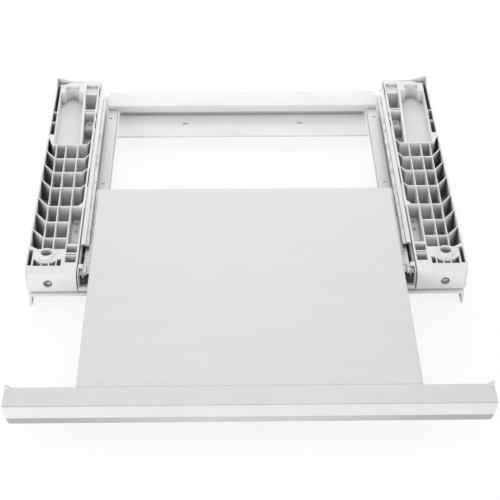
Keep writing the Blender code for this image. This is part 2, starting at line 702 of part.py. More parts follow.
def cut_housing(builder, item, side):
    """Hollow the housing: cells, pocket, cup, ledges, windows and screw holes."""
    face_outer = HOUSING_OUTER - FACE_CHAMFER_WIDTH
    chamfer = [(face_outer, 0), (face_outer, -OVERRUN), (HOUSING_OUTER + OVERRUN, -OVERRUN),
               (HOUSING_OUTER + OVERRUN, FACE_CHAMFER_DEPTH), (HOUSING_OUTER, FACE_CHAMFER_DEPTH)]
    below = HOUSING_BASE - OVERRUN
    builder.combine(item, prism("chamfer", [chamfer], below, OVERRUN, "plan", side))
    builder.combine(item, box("lip", (HOUSING_OUTER - LIP_PROUD, HOUSING_OUTER + OVERRUN),
                              (-OVERRUN, KIT_DEPTH + OVERRUN), (below, -LIP_HEIGHT), side))
    cells = rib_cells() + boss_cells() + side_cells() + inner_lane_cells()
    builder.combine(item, prism("cells", cells, CELL_FLOOR, OVERRUN, "plan", side))
    builder.combine(item, prism("pocket", [pocket_outline()], -FOOT_DEPTH, FIN_RISE + OVERRUN, "plan", side))
    for name, outline, depth in (("nose_rim", nose_rim_outline(), NOSE_RIM_DEPTH),
                                 ("rear_step", rear_step_outline(), STEP_DEPTH)):
        builder.combine(item, prism(name, [outline], -depth, OVERRUN, "plan", side))
    cup = (side * CUP_OUT, CUP_BACK, -FOOT_DEPTH)
    depth = FOOT_DEPTH + CUP_COLLAR_RISE + OVERRUN
    builder.combine(item, round_bars("cup", [cup], CUP_RADIUS, (0, 0, depth), ROUND_STEPS))
    cut_ledges(builder, item, side)
    hollow = (pocket_side(POCKET_FRONT, POCKET_INNER_SHARES) + UNDERSIDE_MARGIN,
              pocket_side(POCKET_FRONT, POCKET_OUTER_SHARES) - UNDERSIDE_MARGIN)
    builder.combine(item, box("underside", hollow, (POCKET_FRONT + UNDERSIDE_MARGIN, NOSE_BACK),
                              (below, UNDERSIDE_CEILING), side))
    cut_housing_holes(builder, item, side)


def cut_ledges(builder, item, side):
    """Open the inner lane over the rail's tabs and at the rear, and the windows for the tabs."""
    spans = {"front": (BOSS_BACK + LEDGE_ROOM, RIB_BACKS[FIRST_INNER_ROW] - RIB / 2),
             "rear": (forward(REAR_LEDGE[0]) - OVERLAP, forward(REAR_LEDGE[1]))}
    recess = lane_cell(forward(REAR_RECESS[0]) - OVERLAP, forward(REAR_RECESS[1]), GAP)
    builder.combine(item, prism("rear_recess", [recess], -REAR_RECESS_DEPTH, OVERRUN, "plan", side))
    for name, (tab, top) in RAIL_TABS.items():
        ledge = top - SHEET - GAP
        outline = lane_cell(*spans[name], GAP)
        builder.combine(item, prism(f"{name}_ledge", [outline], ledge, OVERRUN, "plan", side))
        window = box(f"{name}_window", (HOUSING_INNER - OVERRUN, HOUSING_INNER + INNER_WALL + OVERLAP),
                     (tab[0] - GAP, tab[1] + GAP), (ledge - GAP, top + GAP), side)
        builder.combine(item, window)


def cut_housing_holes(builder, item, side):
    """Cut the holes of the front screw, the tab screws and the base plate's screws."""
    front = (side * across(CLAMP_OUT_SHARE), -OVERRUN, CLAMP_HEIGHT)
    builder.combine(item, round_bars("screw_recess", [front], CLAMP_HOLE, (0, CLAMP_SEAT + OVERRUN, 0),
                                     ROUND_STEPS))
    builder.combine(item, round_bars("screw_bore", [front], CLAMP_SHANK + GAP,
                                     (0, CLAMP_SEAT + CLAMP_LENGTH + OVERRUN, 0)))
    depth = TAB_SCREW_LENGTH + GAP
    tabs = [(side * out, back, top - depth) for out, back, top in tab_screw_places()]
    builder.combine(item, round_bars("tab_bores", tabs, SCREW_SHANK + GAP, (0, 0, depth)))
    bases = [(side * out, back, HOUSING_BASE - OVERRUN) for out, back in base_screw_places()]
    builder.combine(item, round_bars("base_bores", bases, SCREW_SHANK + GAP,
                                     (0, 0, BASE_SCREW_LENGTH + OVERRUN)))


def make_housing(builder, name, side):
    """The ribbed plastic housing that carries the dryer's feet on one side."""
    item = builder.piece(f"housing_{name}", housing_shell(side), builder.white_plastic, builder.frame)
    add_housing_solids(builder, item, side)
    cut_housing(builder, item, side)


def make_base_plate(builder, name, side):
    """The base plate under one housing, with the skirt that hangs over the washer's side."""
    low = PLATE_TOP - PLATE_THICKNESS
    skirt_low = -RIM_HEIGHT
    skirt_inner = PLATE_OUTER - SKIRT_THICKNESS
    fillet = arc((skirt_inner - SKIRT_FILLET, low - SKIRT_FILLET), SKIRT_FILLET, 90, 0, 5)
    radius = SKIRT_EDGE_RADIUS
    edge = arc((skirt_inner + radius, skirt_low + radius), radius, 180, 270, 2)
    edge += arc((PLATE_OUTER - radius, skirt_low + radius), radius, 270, 360, 2)
    outline = [(PLATE_INNER, PLATE_TOP), (PLATE_INNER, low), *fillet, *edge, (PLATE_OUTER, PLATE_TOP)]
    mesh = prism("plate", [outline], PLATE_FRONT, KIT_DEPTH, "front", side)
    item = builder.piece(f"base_plate_{name}", mesh, builder.white_plastic, builder.frame)
    places = [(side * out, back, low - OVERRUN) for out, back in base_screw_places()]
    seat = base_screw_seat()
    builder.combine(item, round_bars("heads", places, SCREW_HEAD + GAP, (0, 0, seat - low + OVERRUN)))
    builder.combine(item, round_bars("bores", places, SCREW_SHANK + GAP,
                                     (0, 0, PLATE_THICKNESS + 2 * OVERRUN)))


def base_screw_seat():
    """Height of the seat under a base screw's head, which lies flush with the plate's underside."""
    return PLATE_TOP - PLATE_THICKNESS + SCREW_HEAD_HEIGHT + GAP


def make_side_rail(builder, name, side):
    """The sheet metal rail that carries the slide: a channel with a wide lower flange."""
    flange_low = RAIL_FLANGE_TOP - SHEET
    foot = HOUSING_BASE
    outline = [(STRIP_INNER, 0), (RAIL_OUTER, 0), (RAIL_OUTER, flange_low), (RAIL_INNER + SHEET, flange_low),
               (RAIL_INNER + SHEET, foot), (RAIL_INNER, foot), (RAIL_INNER, RAIL_FLANGE_TOP),
               (RAIL_WEB_INNER, RAIL_FLANGE_TOP), (RAIL_WEB_INNER, -SHEET), (STRIP_INNER, -SHEET)]
    mesh = prism("rail", [outline], FACE_SETBACK, forward(RAIL_END), "front", side)
    item = builder.piece(f"side_rail_{name}", mesh, builder.white_paint, builder.frame)
    front = box("front_flange", (RAIL_INNER + SHEET - OVERLAP, RAIL_OUTER),
                (FACE_SETBACK, FACE_SETBACK + SHEET),
                (foot + RAIL_FRONT_CLEARANCE, RAIL_FLANGE_TOP - OVERLAP), side)
    builder.join(item, front)
    for tab_name, (span, top) in RAIL_TABS.items():
        tab = box(f"{tab_name}_tab", (RAIL_OUTER - OVERLAP, TAB_OUTER), span, (top - SHEET, top), side)
        builder.join(item, tab)
    spans = [(-OVERRUN, STRIP_TAB[0]), (STRIP_TAB[1], STRIP_FRONT),
             (forward(STRIP_END), KIT_DEPTH + OVERRUN)]
    strip = [rectangle((STRIP_INNER - OVERRUN, RAIL_WEB_INNER), span) for span in spans]
    builder.combine(item, prism("strip_cuts", strip, -2 * SHEET, OVERRUN, "plan", side))
    notch = box("web_notch", (RAIL_WEB_INNER - OVERLAP, RAIL_OUTER + OVERLAP), (STRIP_TAB[1], STRIP_FRONT),
                (-WEB_NOTCH_DEPTH, OVERRUN), side)
    builder.combine(item, notch)
    slots = [slot_outline((RAIL_INNER + FLANGE_SLOT_INSET, share * KIT_DEPTH), FLANGE_SLOT_LENGTH,
                          FLANGE_SLOT_WIDTH) for share in FLANGE_SLOT_SHARES]
    builder.combine(item, prism("slots", slots, flange_low - OVERRUN, RAIL_FLANGE_TOP + OVERRUN,
                                "plan", side))
    tabs = [(side * out, back, top - SHEET - OVERLAP) for out, back, top in tab_screw_places()]
    builder.combine(item, round_bars("tab_holes", tabs, SCREW_SHANK + GAP, (0, 0, SHEET + 2 * OVERLAP)))
    rivets = [(side * (RAIL_WEB_INNER - OVERLAP), back, slide_middle()) for back in SLIDE_RIVETS]
    through = (side * (SHEET + 2 * OVERLAP), 0, 0)
    builder.combine(item, round_bars("rivet_holes", rivets, RIVET_SHANK + GAP, through))
    out, back = cross_rivet_place()
    rivet = (side * out, back, flange_low - OVERLAP)
    builder.combine(item, round_bars("foot_hole", [rivet], RIVET_SHANK + GAP, (0, 0, SHEET + 2 * OVERLAP)))


def slide_middle():
    """Height of the slide's middle line."""
    return SLIDE_TOP - SLIDE_HEIGHT / 2


def cross_rivet_place():
    """Out and back of the rivet through each foot of the crossbar."""
    return CROSS_HALF - CROSS_RIVET_INSET, CROSS_WEB + SHEET + (CROSS_FOOT - SHEET) / 2


def make_crossbar(builder):
    """The folded sheet metal crossbar behind the shelf, with a foot on each rail."""
    web, front, end = CROSS_WEB, CROSS_FRONT, forward(CROSS_END)
    lower = CROSS_LOWER_TOP
    step = web + CROSS_STEP_DEPTH
    step_top = lower + CROSS_STEP_HEIGHT
    middle = [(end, CROSS_TOP), (web, CROSS_TOP), (web, step_top), (step, step_top), (step, lower),
              (front + CROSS_HEM, lower), (front + CROSS_HEM, lower + CROSS_HEM_RISE),
              (front, lower + CROSS_HEM_RISE), (front, lower - SHEET), (step + SHEET, lower - SHEET),
              (step + SHEET, step_top + SHEET), (web + SHEET, step_top + SHEET),
              (web + SHEET, CROSS_TOP - SHEET), (end, CROSS_TOP - SHEET)]
    foot_low = RAIL_FLANGE_TOP + GAP
    ends = [(end, CROSS_TOP), (web, CROSS_TOP), (web, foot_low), (web + CROSS_FOOT, foot_low),
            (web + CROSS_FOOT, foot_low + SHEET), (web + SHEET, foot_low + SHEET),
            (web + SHEET, CROSS_TOP - SHEET), (end, CROSS_TOP - SHEET)]
    half = RAIL_INNER - GAP
    item = builder.piece("rear_crossbar", prism("middle", [middle], -half, half, "side"),
                         builder.white_paint, builder.frame)
    for name, side in SIDES.items():
        builder.join(item, prism(f"end_{name}", [ends], half - OVERLAP, CROSS_HALF, "side", side))
    hole_out, hole_back = CROSS_HOLE_SHARE * CROSS_HALF, forward(CROSS_HOLE_PLACE)
    places = [(side * hole_out, hole_back) for side in SIDES.values()]
    rim = 2 * CROSS_COLLAR_WALL
    collars = [slot_outline(place, CROSS_HOLE_LENGTH + rim, CROSS_HOLE_WIDTH + rim) for place in places]
    holes = [slot_outline(place, CROSS_HOLE_LENGTH, CROSS_HOLE_WIDTH) for place in places]
    collar_low = lower - SHEET - CROSS_COLLAR_DEPTH
    builder.join(item, prism("collars", collars, collar_low, lower - OVERLAP, "plan"))
    builder.combine(item, prism("holes", holes, collar_low - OVERRUN, lower + OVERRUN, "plan"))
    out, back = cross_rivet_place()
    feet = [(side * out, back, foot_low - OVERLAP) for side in SIDES.values()]
    builder.combine(item, round_bars("foot_holes", feet, RIVET_SHANK + GAP, (0, 0, SHEET + 2 * OVERLAP)))


def make_slide_outer(builder, name, side):
    """The fixed slide member: a channel that opens inwards, with lips and a notch in its top."""
    web = SLIDE_OUTER - THIN_SHEET
    lip = SLIDE_OUTER_LIP + THIN_SHEET
    top, low = SLIDE_TOP, SLIDE_LOW
    drop = THIN_SHEET + SLIDE_LIP
    outline = [(SLIDE_OUTER, top), (SLIDE_OUTER, low), (SLIDE_OUTER_LIP, low), (SLIDE_OUTER_LIP, low + drop),
               (lip, low + drop), (lip, low + THIN_SHEET), (web, low + THIN_SHEET), (web, top - THIN_SHEET),
               (lip, top - THIN_SHEET), (lip, top - drop), (SLIDE_OUTER_LIP, top - drop),
               (SLIDE_OUTER_LIP, top)]
    mesh = prism("outer", [outline], SLIDE_FRONT, SLIDE_BACK, "front", side)
    item = builder.piece(f"slide_outer_{name}", mesh, builder.zinc, builder.frame)
    rivets = [(side * (web - OVERLAP), back, slide_middle()) for back in SLIDE_RIVETS]
    builder.combine(item, round_bars("rivet_holes", rivets, RIVET_SHANK + GAP,
                                     (side * (THIN_SHEET + 2 * OVERLAP), 0, 0)))
    out, back = stop_rivet_place()
    builder.combine(item, round_bars("stop_hole", [(side * out, back, top - THIN_SHEET - OVERLAP)],
                                     RIVET_SHANK + GAP, (0, 0, THIN_SHEET + 2 * OVERLAP)))
    notch = box("notch", (SLIDE_OUTER_LIP - OVERRUN, web), (STRIP_TAB[1], STRIP_FRONT),
                (top - drop - OVERLAP, OVERRUN), side)
    builder.combine(item, notch)


def stop_rivet_place():
    """Out and back of the rivet that holds the front stop."""
    return (SLIDE_OUTER_LIP + SLIDE_OUTER) / 2, SLIDE_FRONT + GAP + STOP_LENGTH / 2


def make_slide_stop(builder, name, side):
    """The dark block in the slide's front end, which ends the shelf's travel."""
    inner = SLIDE_OUTER_LIP + THIN_SHEET + GAP
    outer = SLIDE_OUTER - THIN_SHEET - GAP
    mesh = box("stop", (inner, outer), (SLIDE_FRONT + GAP, STOP_BACK), (STOP_LOW, STOP_TOP), side)
    item = builder.piece(f"slide_stop_{name}", mesh, builder.dark, builder.frame)
    out, back = stop_rivet_place()
    depth = STOP_HEIGHT / 2
    middle = STOP_TOP - depth
    builder.combine(item, round_bars("bore", [(side * out, back, middle)], RIVET_SHANK + GAP,
                                     (0, 0, depth + OVERRUN)))
    groove = box("groove", (inner - OVERRUN, outer + OVERRUN),
                 (SLIDE_FRONT - OVERRUN, SLIDE_FRONT + THIN_SHEET),
                 (middle - THIN_SHEET, middle + THIN_SHEET), side)
    builder.combine(item, groove)


def make_slide_inner(builder, name, side):
    """The moving slide member on the shelf's flange: a channel that opens outwards."""
    web = INNER_WEB + THIN_SHEET
    outline = [(INNER_WEB, INNER_TOP), (INNER_TIP, INNER_TOP), (INNER_TIP, INNER_TOP - THIN_SHEET),
               (web, INNER_TOP - THIN_SHEET), (web, INNER_LOW + THIN_SHEET),
               (INNER_TIP, INNER_LOW + THIN_SHEET),
               (INNER_TIP, INNER_LOW), (INNER_WEB, INNER_LOW)]
    mesh = prism("inner", [outline], INNER_FRONT, INNER_BACK, "front", side)
    item = builder.piece(f"slide_inner_{name}", mesh, builder.zinc, builder.drawer)
    holes = [(side * (INNER_WEB - OVERLAP), back, slide_middle()) for back in SHELF_SCREWS]
    builder.combine(item, round_bars("screw_holes", holes, SCREW_SHANK + GAP,
                                     (side * (THIN_SHEET + 2 * OVERLAP), 0, 0)))


def ball_places():
    """Distances back and heights of the balls on one side."""
    start = RETAINER_FRONT + RETAINER_MARGIN
    backs = [start + index * BALL_PITCH for index in range(BALLS_PER_ROW)]
    return [(back, height) for height in BALL_ROWS for back in backs]


def make_ball_retainer(builder, name, side):
    """The thin cage that keeps the balls apart and runs out at half the shelf's pace."""
    half = RETAINER_SHEET / 2
    top, low = BALL_ROWS[0] + half, BALL_ROWS[1] - half
    web = RETAINER_OUTER - RETAINER_SHEET
    outline = [(RETAINER_INNER, top), (RETAINER_OUTER, top), (RETAINER_OUTER, low), (RETAINER_INNER, low),
               (RETAINER_INNER, low + RETAINER_SHEET), (web, low + RETAINER_SHEET),
               (web, top - RETAINER_SHEET), (RETAINER_INNER, top - RETAINER_SHEET)]
    mesh = prism("cage", [outline], RETAINER_FRONT, RETAINER_BACK, "front", side)
    item = builder.piece(f"ball_retainer_{name}", mesh, builder.steel, builder.cages[name])
    reach = 2 * RETAINER_SHEET
    holes = [(side * BALL_OUT, back, height - reach) for back, height in ball_places()]
    builder.combine(item, round_bars("ball_holes", holes, BALL_RADIUS + GAP, (0, 0, 2 * reach)))


def make_balls(builder, name, side):
    """The steel balls of one slide, which share one mesh."""
    work = bmesh.new()
    bmesh.ops.create_uvsphere(work, u_segments=BALL_SEGMENTS, v_segments=BALL_RINGS, radius=BALL_RADIUS)
    mesh = bpy.data.meshes.new("ball")
    work.to_mesh(mesh)
    work.free()
    mesh.shade_smooth()
    for index, (back, height) in enumerate(ball_places(), start=1):
        ball = builder.piece(f"slide_ball_{name}_{index}", mesh, builder.steel, builder.cages[name])
        ball.location = (side * BALL_OUT, back, height)


def make_shelf(builder):
    """The sheet metal shelf: a flat top with flanges turned down all round."""
    low = SHELF_TOP - SHELF_SKIRT
    front = BAR_BACK + GAP
    mesh = box("shelf", (-SHELF_HALF, SHELF_HALF), (front, SHELF_BACK), (low, SHELF_TOP))
    item = builder.piece("shelf_panel", mesh, builder.shelf_paint, builder.drawer)
    inner = SHELF_HALF - SHELF_SHEET
    hollow = box("hollow", (-inner, inner), (front + SHELF_SHEET, SHELF_BACK - SHELF_SHEET),
                 (low - OVERRUN, SHELF_TOP - SHELF_SHEET))
    builder.combine(item, hollow)
    run = SHELF_SHEET + 2 * OVERLAP
    sides = [(-SHELF_HALF - OVERLAP, back, slide_middle()) for back in SHELF_SCREWS]
    sides += [(inner - OVERLAP, back, slide_middle()) for back in SHELF_SCREWS]
    builder.combine(item, round_bars("side_holes", sides, SCREW_SHANK + GAP, (run, 0, 0)))
    fronts = [(out, front - OVERLAP, BAR_SCREW_HEIGHT) for out in bar_screw_outs()]
    builder.combine(item, round_bars("front_holes", fronts, SCREW_SHANK + GAP, (0, run, 0)))


def bar_screw_outs():
    """Distances out of the screws between the shelf and the bar."""
    return [share * SHELF_HALF for share in BAR_SCREW_SHARES]


def bar_face():
    """Outer points of the bar's section, from its back edge over the top and down the front."""
    return [(BAR_BACK, BAR_TOP), (BAR_FRONT, BAR_TOP), (BAR_FRONT, BAR_FACE_LOW),
            (BAR_FRONT + BAR_LOW_SETBACK, BAR_LOW)]


def make_front_bar(builder):
    """The front bar: a long cover, open below, whose slanted lower edge is the grip."""
    inner_front = BAR_FRONT + BAR_WALL
    inner_top = BAR_TOP - BAR_WEB
    outline = [*bar_face(), (inner_front + BAR_LOW_SETBACK, BAR_LOW), (inner_front, BAR_FACE_LOW),
               (inner_front, inner_top), (BAR_BACK - BAR_WEB, inner_top), (BAR_BACK - BAR_WEB, BAR_WEB_LOW),
               (BAR_BACK, BAR_WEB_LOW)]
    half = CAP_INNER - GAP
    item = builder.piece("front_bar", prism("bar", [outline], -half, half, "side"), builder.bar_plastic,
                         builder.drawer)
    holes = [(out, BAR_BACK - BAR_WEB - OVERLAP, BAR_SCREW_HEIGHT) for out in bar_screw_outs()]
    builder.combine(item, round_bars("screw_holes", holes, SCREW_SHANK + GAP, (0, BAR_WEB + 2 * OVERLAP, 0)))


def make_end_cap(builder, name, side):
    """The cap on one end of the bar: its spigot sits in the bar, its lug stands up behind."""
    section = [*bar_face(), (BAR_BACK, BAR_LOW)]
    item = builder.piece(f"bar_end_cap_{name}", prism("cap", [section], CAP_INNER, BAR_HALF, "side", side),
                         builder.bar_plastic, builder.drawer)
    lug = [(CAP_INNER, BAR_TOP), (BAR_HALF - LUG_LENGTH, LUG_TOP), (BAR_HALF, LUG_TOP),
           (BAR_HALF, BAR_TOP - OVERLAP), (CAP_INNER, BAR_TOP - OVERLAP)]
    builder.join(item, prism("lug", [lug], BAR_BACK - LUG_DEPTH, BAR_BACK, "front", side))
    spigot = box("spigot", (CAP_INNER - CAP_SPIGOT, CAP_INNER + OVERLAP),
                 (BAR_FRONT + BAR_WALL + GAP, BAR_BACK - BAR_WEB - GAP),
                 (CAP_SPIGOT_LOW, BAR_TOP - BAR_WEB - GAP), side)
    builder.join(item, spigot)
    wedge = [(BAR_HALF, CAP_SIDE_KNEE), (BAR_HALF - CAP_FACE_DRAW, BAR_FACE_LOW),
             (BAR_HALF - CAP_LOW_DRAW, BAR_LOW),
             (BAR_HALF - CAP_LOW_DRAW, BAR_LOW - OVERRUN), (BAR_HALF + OVERRUN, BAR_LOW - OVERRUN),
             (BAR_HALF + OVERRUN, CAP_SIDE_KNEE)]
    builder.combine(item, prism("end_slope", [wedge], BAR_FRONT - OVERRUN, BAR_BACK + OVERRUN,
                                "front", side))


def turned(name, profile):
    """A turned piece from its profile of radius and height, top to bottom."""
    mesh = bpy.data.meshes.new(name)
    mesh.from_pydata([(radius, 0, height) for radius, height in profile],
                     [(index, index + 1) for index in range(len(profile) - 1)], [])
    holder = bpy.data.objects.new(name, mesh)
    bpy.context.scene.collection.objects.link(holder)
    screw = holder.modifiers.new("turn", "SCREW")
    screw.axis = "Z"
    screw.steps = screw.render_steps = FASTENER_STEPS
    screw.use_merge_vertices = True
    screw.merge_threshold = WELD
    return closed(evaluated(holder))


def screw_profile(head, height, shank, length):
    """Profile of a screw whose seat is at height zero."""
    return [(0, height), (head * HEAD_CHAMFER_SHARE, height), (head, height / 2), (head, 0), (shank, 0),
            (shank, -length), (0, -length)]


def rivet_profile(grip):
    """Profile of a rivet with a head at each end, with its first seat at height zero."""
    return [(0, RIVET_HEAD_HEIGHT), (RIVET_HEAD * HEAD_CHAMFER_SHARE, RIVET_HEAD_HEIGHT),
            (RIVET_HEAD, RIVET_HEAD_HEIGHT / 2), (RIVET_HEAD, 0), (RIVET_SHANK, 0), (RIVET_SHANK, -grip),
            (RIVET_HEAD, -grip), (RIVET_HEAD, -grip - RIVET_HEAD_HEIGHT), (0, -grip - RIVET_HEAD_HEIGHT)]


def fasteners(builder, name, profile, places, direction, parent):
    """Like fasteners, which share one mesh. The direction is the way their heads face."""
    mesh = turned(name, profile)
    mesh.shade_smooth()
    mesh.set_sharp_from_angle(angle=math.radians(SHARP_ANGLE))
    turn = Vector((0, 0, 1)).rotation_difference(Vector(direction)).to_euler()
    for index, place in enumerate(places, start=1):
        label = f"{name}_{index}" if len(places) > 1 else name
        item = builder.piece(label, mesh, builder.zinc, parent)
        item.location = place
        item.rotation_euler = turn


def make_frame_fasteners(builder, name, side):
    """Screws and rivets of the fixed frame on one side."""
    screw = (SCREW_HEAD, SCREW_HEAD_HEIGHT, SCREW_SHANK)
    clamp = screw_profile(CLAMP_HEAD, CLAMP_HEAD_HEIGHT, CLAMP_SHANK, CLAMP_LENGTH - GAP)
    seat = (side * across(CLAMP_OUT_SHARE), CLAMP_SEAT - GAP, CLAMP_HEIGHT)
    fasteners(builder, f"front_screw_{name}", clamp, [seat], (0, -1, 0), builder.frame)
    tabs = [(side * out, back, top + GAP) for out, back, top in tab_screw_places()]
    tab_screw = screw_profile(TAB_SCREW_HEAD, TAB_SCREW_HEAD_HEIGHT, SCREW_SHANK, TAB_SCREW_LENGTH)
    fasteners(builder, f"tab_screw_{name}", tab_screw, tabs, (0, 0, 1), builder.frame)
    bases = [(side * out, back, base_screw_seat() - GAP) for out, back in base_screw_places()]
    reach = HOUSING_BASE + BASE_SCREW_LENGTH - base_screw_seat()
    fasteners(builder, f"base_screw_{name}", screw_profile(*screw, reach), bases, (0, 0, -1), builder.frame)
    rivets = [(side * (SLIDE_OUTER - THIN_SHEET - GAP), back, slide_middle()) for back in SLIDE_RIVETS]
    grip = RAIL_OUTER - SLIDE_OUTER + THIN_SHEET + 2 * GAP
    fasteners(builder, f"slide_rivet_{name}", rivet_profile(grip), rivets, (-side, 0, 0), builder.frame)
    out, back = stop_rivet_place()
    reach = SLIDE_TOP + GAP - STOP_TOP + STOP_HEIGHT / 2 - GAP
    stop = screw_profile(RIVET_HEAD, RIVET_HEAD_HEIGHT, RIVET_SHANK, reach)
    seat = (side * out, back, SLIDE_TOP + GAP)
    fasteners(builder, f"stop_rivet_{name}", stop, [seat], (0, 0, 1), builder.frame)
    out, back = cross_rivet_place()
    foot = (side * out, back, RAIL_FLANGE_TOP + SHEET + 2 * GAP)
    foot_rivet = rivet_profile(2 * SHEET + 3 * GAP)
    fasteners(builder, f"crossbar_rivet_{name}", foot_rivet, [foot], (0, 0, 1), builder.frame)


def make_drawer_fasteners(builder):
    """Screws of the shelf: into the slides at its sides, and into the bar in front."""
    screw = (SCREW_HEAD, SCREW_HEAD_HEIGHT, SCREW_SHANK)
    through = SHELF_SHEET + THIN_SHEET + 2 * GAP + RETAINER_SHEET
    for name, side in SIDES.items():
        places = [(side * (SHELF_HALF - SHELF_SHEET - GAP), back, slide_middle()) for back in SHELF_SCREWS]
        fasteners(builder, f"shelf_screw_{name}", screw_profile(*screw, through), places, (-side, 0, 0),
                  builder.drawer)
    fronts = [(out, BAR_BACK + SHELF_SHEET + 2 * GAP, BAR_SCREW_HEIGHT) for out in bar_screw_outs()]
    bar_screw = screw_profile(*screw, BAR_SCREW_LENGTH)
    fasteners(builder, "bar_screw", bar_screw, fronts, (0, 1, 0), builder.drawer)


def main():
    """Build the whole kit with its shelf pulled out."""
    clear_scene()
    builder = Builder()
    for name, side in SIDES.items():
        make_housing(builder, name, side)
        make_base_plate(builder, name, side)
        make_side_rail(builder, name, side)
        make_slide_outer(builder, name, side)
        make_slide_stop(builder, name, side)
        make_slide_inner(builder, name, side)
        make_ball_retainer(builder, name, side)
        make_balls(builder, name, side)
        make_end_cap(builder, name, side)
        make_frame_fasteners(builder, name, side)
    make_crossbar(builder)
    make_shelf(builder)
    make_front_bar(builder)
    make_drawer_fasteners(builder)


main()
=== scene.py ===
"""Stacking kit with a pull-out shelf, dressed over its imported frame, with the shelf out.

Each sub-assembly is a class that takes its place from the frame's nodes and builds its
pieces in real sizes. Places are in metres: X to the right, Y to the back, Z up. A piece
of one side is built for the right-hand side and mirrored for the left.
"""

import logging
import math
from collections.abc import Mapping, Sequence
from dataclasses import dataclass, field
from enum import Enum
from functools import cached_property
from typing import Union

import bmesh
import bpy
from mathutils import Matrix, Vector


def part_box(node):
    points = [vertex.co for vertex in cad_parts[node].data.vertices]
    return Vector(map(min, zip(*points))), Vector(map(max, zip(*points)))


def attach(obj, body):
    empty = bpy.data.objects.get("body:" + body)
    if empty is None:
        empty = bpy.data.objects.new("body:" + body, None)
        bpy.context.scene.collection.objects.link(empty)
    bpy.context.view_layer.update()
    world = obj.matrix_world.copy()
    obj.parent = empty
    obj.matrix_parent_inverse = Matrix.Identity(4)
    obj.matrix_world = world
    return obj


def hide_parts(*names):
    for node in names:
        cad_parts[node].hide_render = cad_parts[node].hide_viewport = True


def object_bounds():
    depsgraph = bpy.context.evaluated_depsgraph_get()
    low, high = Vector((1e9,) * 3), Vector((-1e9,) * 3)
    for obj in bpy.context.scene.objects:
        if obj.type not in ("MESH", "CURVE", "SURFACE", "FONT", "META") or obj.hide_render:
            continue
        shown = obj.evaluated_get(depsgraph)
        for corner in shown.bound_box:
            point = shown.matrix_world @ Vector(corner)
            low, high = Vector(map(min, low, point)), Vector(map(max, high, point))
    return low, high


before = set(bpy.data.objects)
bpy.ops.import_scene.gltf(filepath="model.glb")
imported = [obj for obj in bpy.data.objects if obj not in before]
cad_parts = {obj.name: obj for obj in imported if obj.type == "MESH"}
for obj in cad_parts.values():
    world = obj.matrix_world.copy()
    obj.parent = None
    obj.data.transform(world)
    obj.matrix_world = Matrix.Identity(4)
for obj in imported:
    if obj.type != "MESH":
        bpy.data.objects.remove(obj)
CAD_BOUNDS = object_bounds()
LOG = logging.getLogger("stacking_kit")

Point = tuple[float, float]
Triple = tuple[float, float, float]
Number = Union["Value", bpy.types.NodeSocket, float]
WHITE = (1.0, 1.0, 1.0)

# How far a tool reaches past what it opens, and the distance under which points are merged
OVERRUN = 0.004
WELD = 0.00001

# Faces are one where they turn by less than the first angle, and edges are sharp above the second
FLAT_ANGLE = math.radians(0.5)
SHARP_ANGLE = math.radians(34)
QUARTER_TURN = math.radians(90)

# Parts of an arc, of a slot's round end, of a whole turn and of a soft edge, and a ball's levels
ARC_STEPS = 4
SLOT_STEPS = 6
TURN_STEPS = 24
EDGE_STEPS = 2
BALL_LEVELS = 3
ROUND_PROFILE = 0.5

# Weight of the large faces where a piece's shading is evened out
FACE_WEIGHT = 100

# Samples and step of the shaders' masks, and the mean of a cloudy pattern
EDGE_SAMPLES = 4
EDGE_STEP = (0.72, 0.98)
CORNER_SAMPLES = 8
CLOUD_MEAN = 0.5


class Side(Enum):
    LEFT = -1
    RIGHT = 1

    @property
    def label(self) -> str:
        """The side's word in the names of nodes and pieces."""
        return self.name.lower()


class Slot(Enum):
    """The record's material slots."""

    WHITE_PLASTIC = "white_plastic"
    WHITE_PAINT = "white_paint"
    SHELF_PAINT = "shelf_paint"
    BAR_PLASTIC = "bar_plastic"
    ZINC_STEEL = "zinc_steel"
    POLISHED_STEEL = "polished_steel"
    DARK_PLASTIC = "dark_plastic"


class Plane(Enum):
    """The plane that an outline lies in: its two axes, and the way it is drawn out."""

    PLAN = ((1, 0, 0), (0, 1, 0), (0, 0, 1))
    FRONT = ((1, 0, 0), (0, 0, 1), (0, 1, 0))
    SIDE = ((0, 1, 0), (0, 0, 1), (1, 0, 0))


class Value:
    """A number that changes over a surface, held as the socket that gives it."""

    def __init__(self, graph: "Graph", socket: bpy.types.NodeSocket) -> None:
        """Hold a socket of a graph."""
        self.graph = graph
        self.socket = socket

    def __add__(self, other: Number) -> "Value":
        """Sum of the two numbers."""
        return self.graph.maths("ADD", self, other)

    def __radd__(self, other: Number) -> "Value":
        """Sum of the two numbers."""
        return self.graph.maths("ADD", other, self)

    def __sub__(self, other: Number) -> "Value":
        """This number less the other."""
        return self.graph.maths("SUBTRACT", self, other)

    def __rsub__(self, other: Number) -> "Value":
        """The other number less this one."""
        return self.graph.maths("SUBTRACT", other, self)

    def __mul__(self, other: Number) -> "Value":
        """Product of the two numbers."""
        return self.graph.maths("MULTIPLY", self, other)

    def __rmul__(self, other: Number) -> "Value":
        """Product of the two numbers."""
        return self.graph.maths("MULTIPLY", other, self)

    def rise(self, low: float, high: float) -> "Value":
        """Smooth step of the number.

        Args:
            low: Where the step starts from 0.
            high: Where it reaches 1.

        Returns:
            The step.
        """
        settings = {"interpolation_type": "SMOOTHSTEP"}
        inputs = {"Value": self, "From Min": low, "From Max": high}
        return Value(self.graph, self.graph.node("ShaderNodeMapRange", settings, inputs).outputs[0])


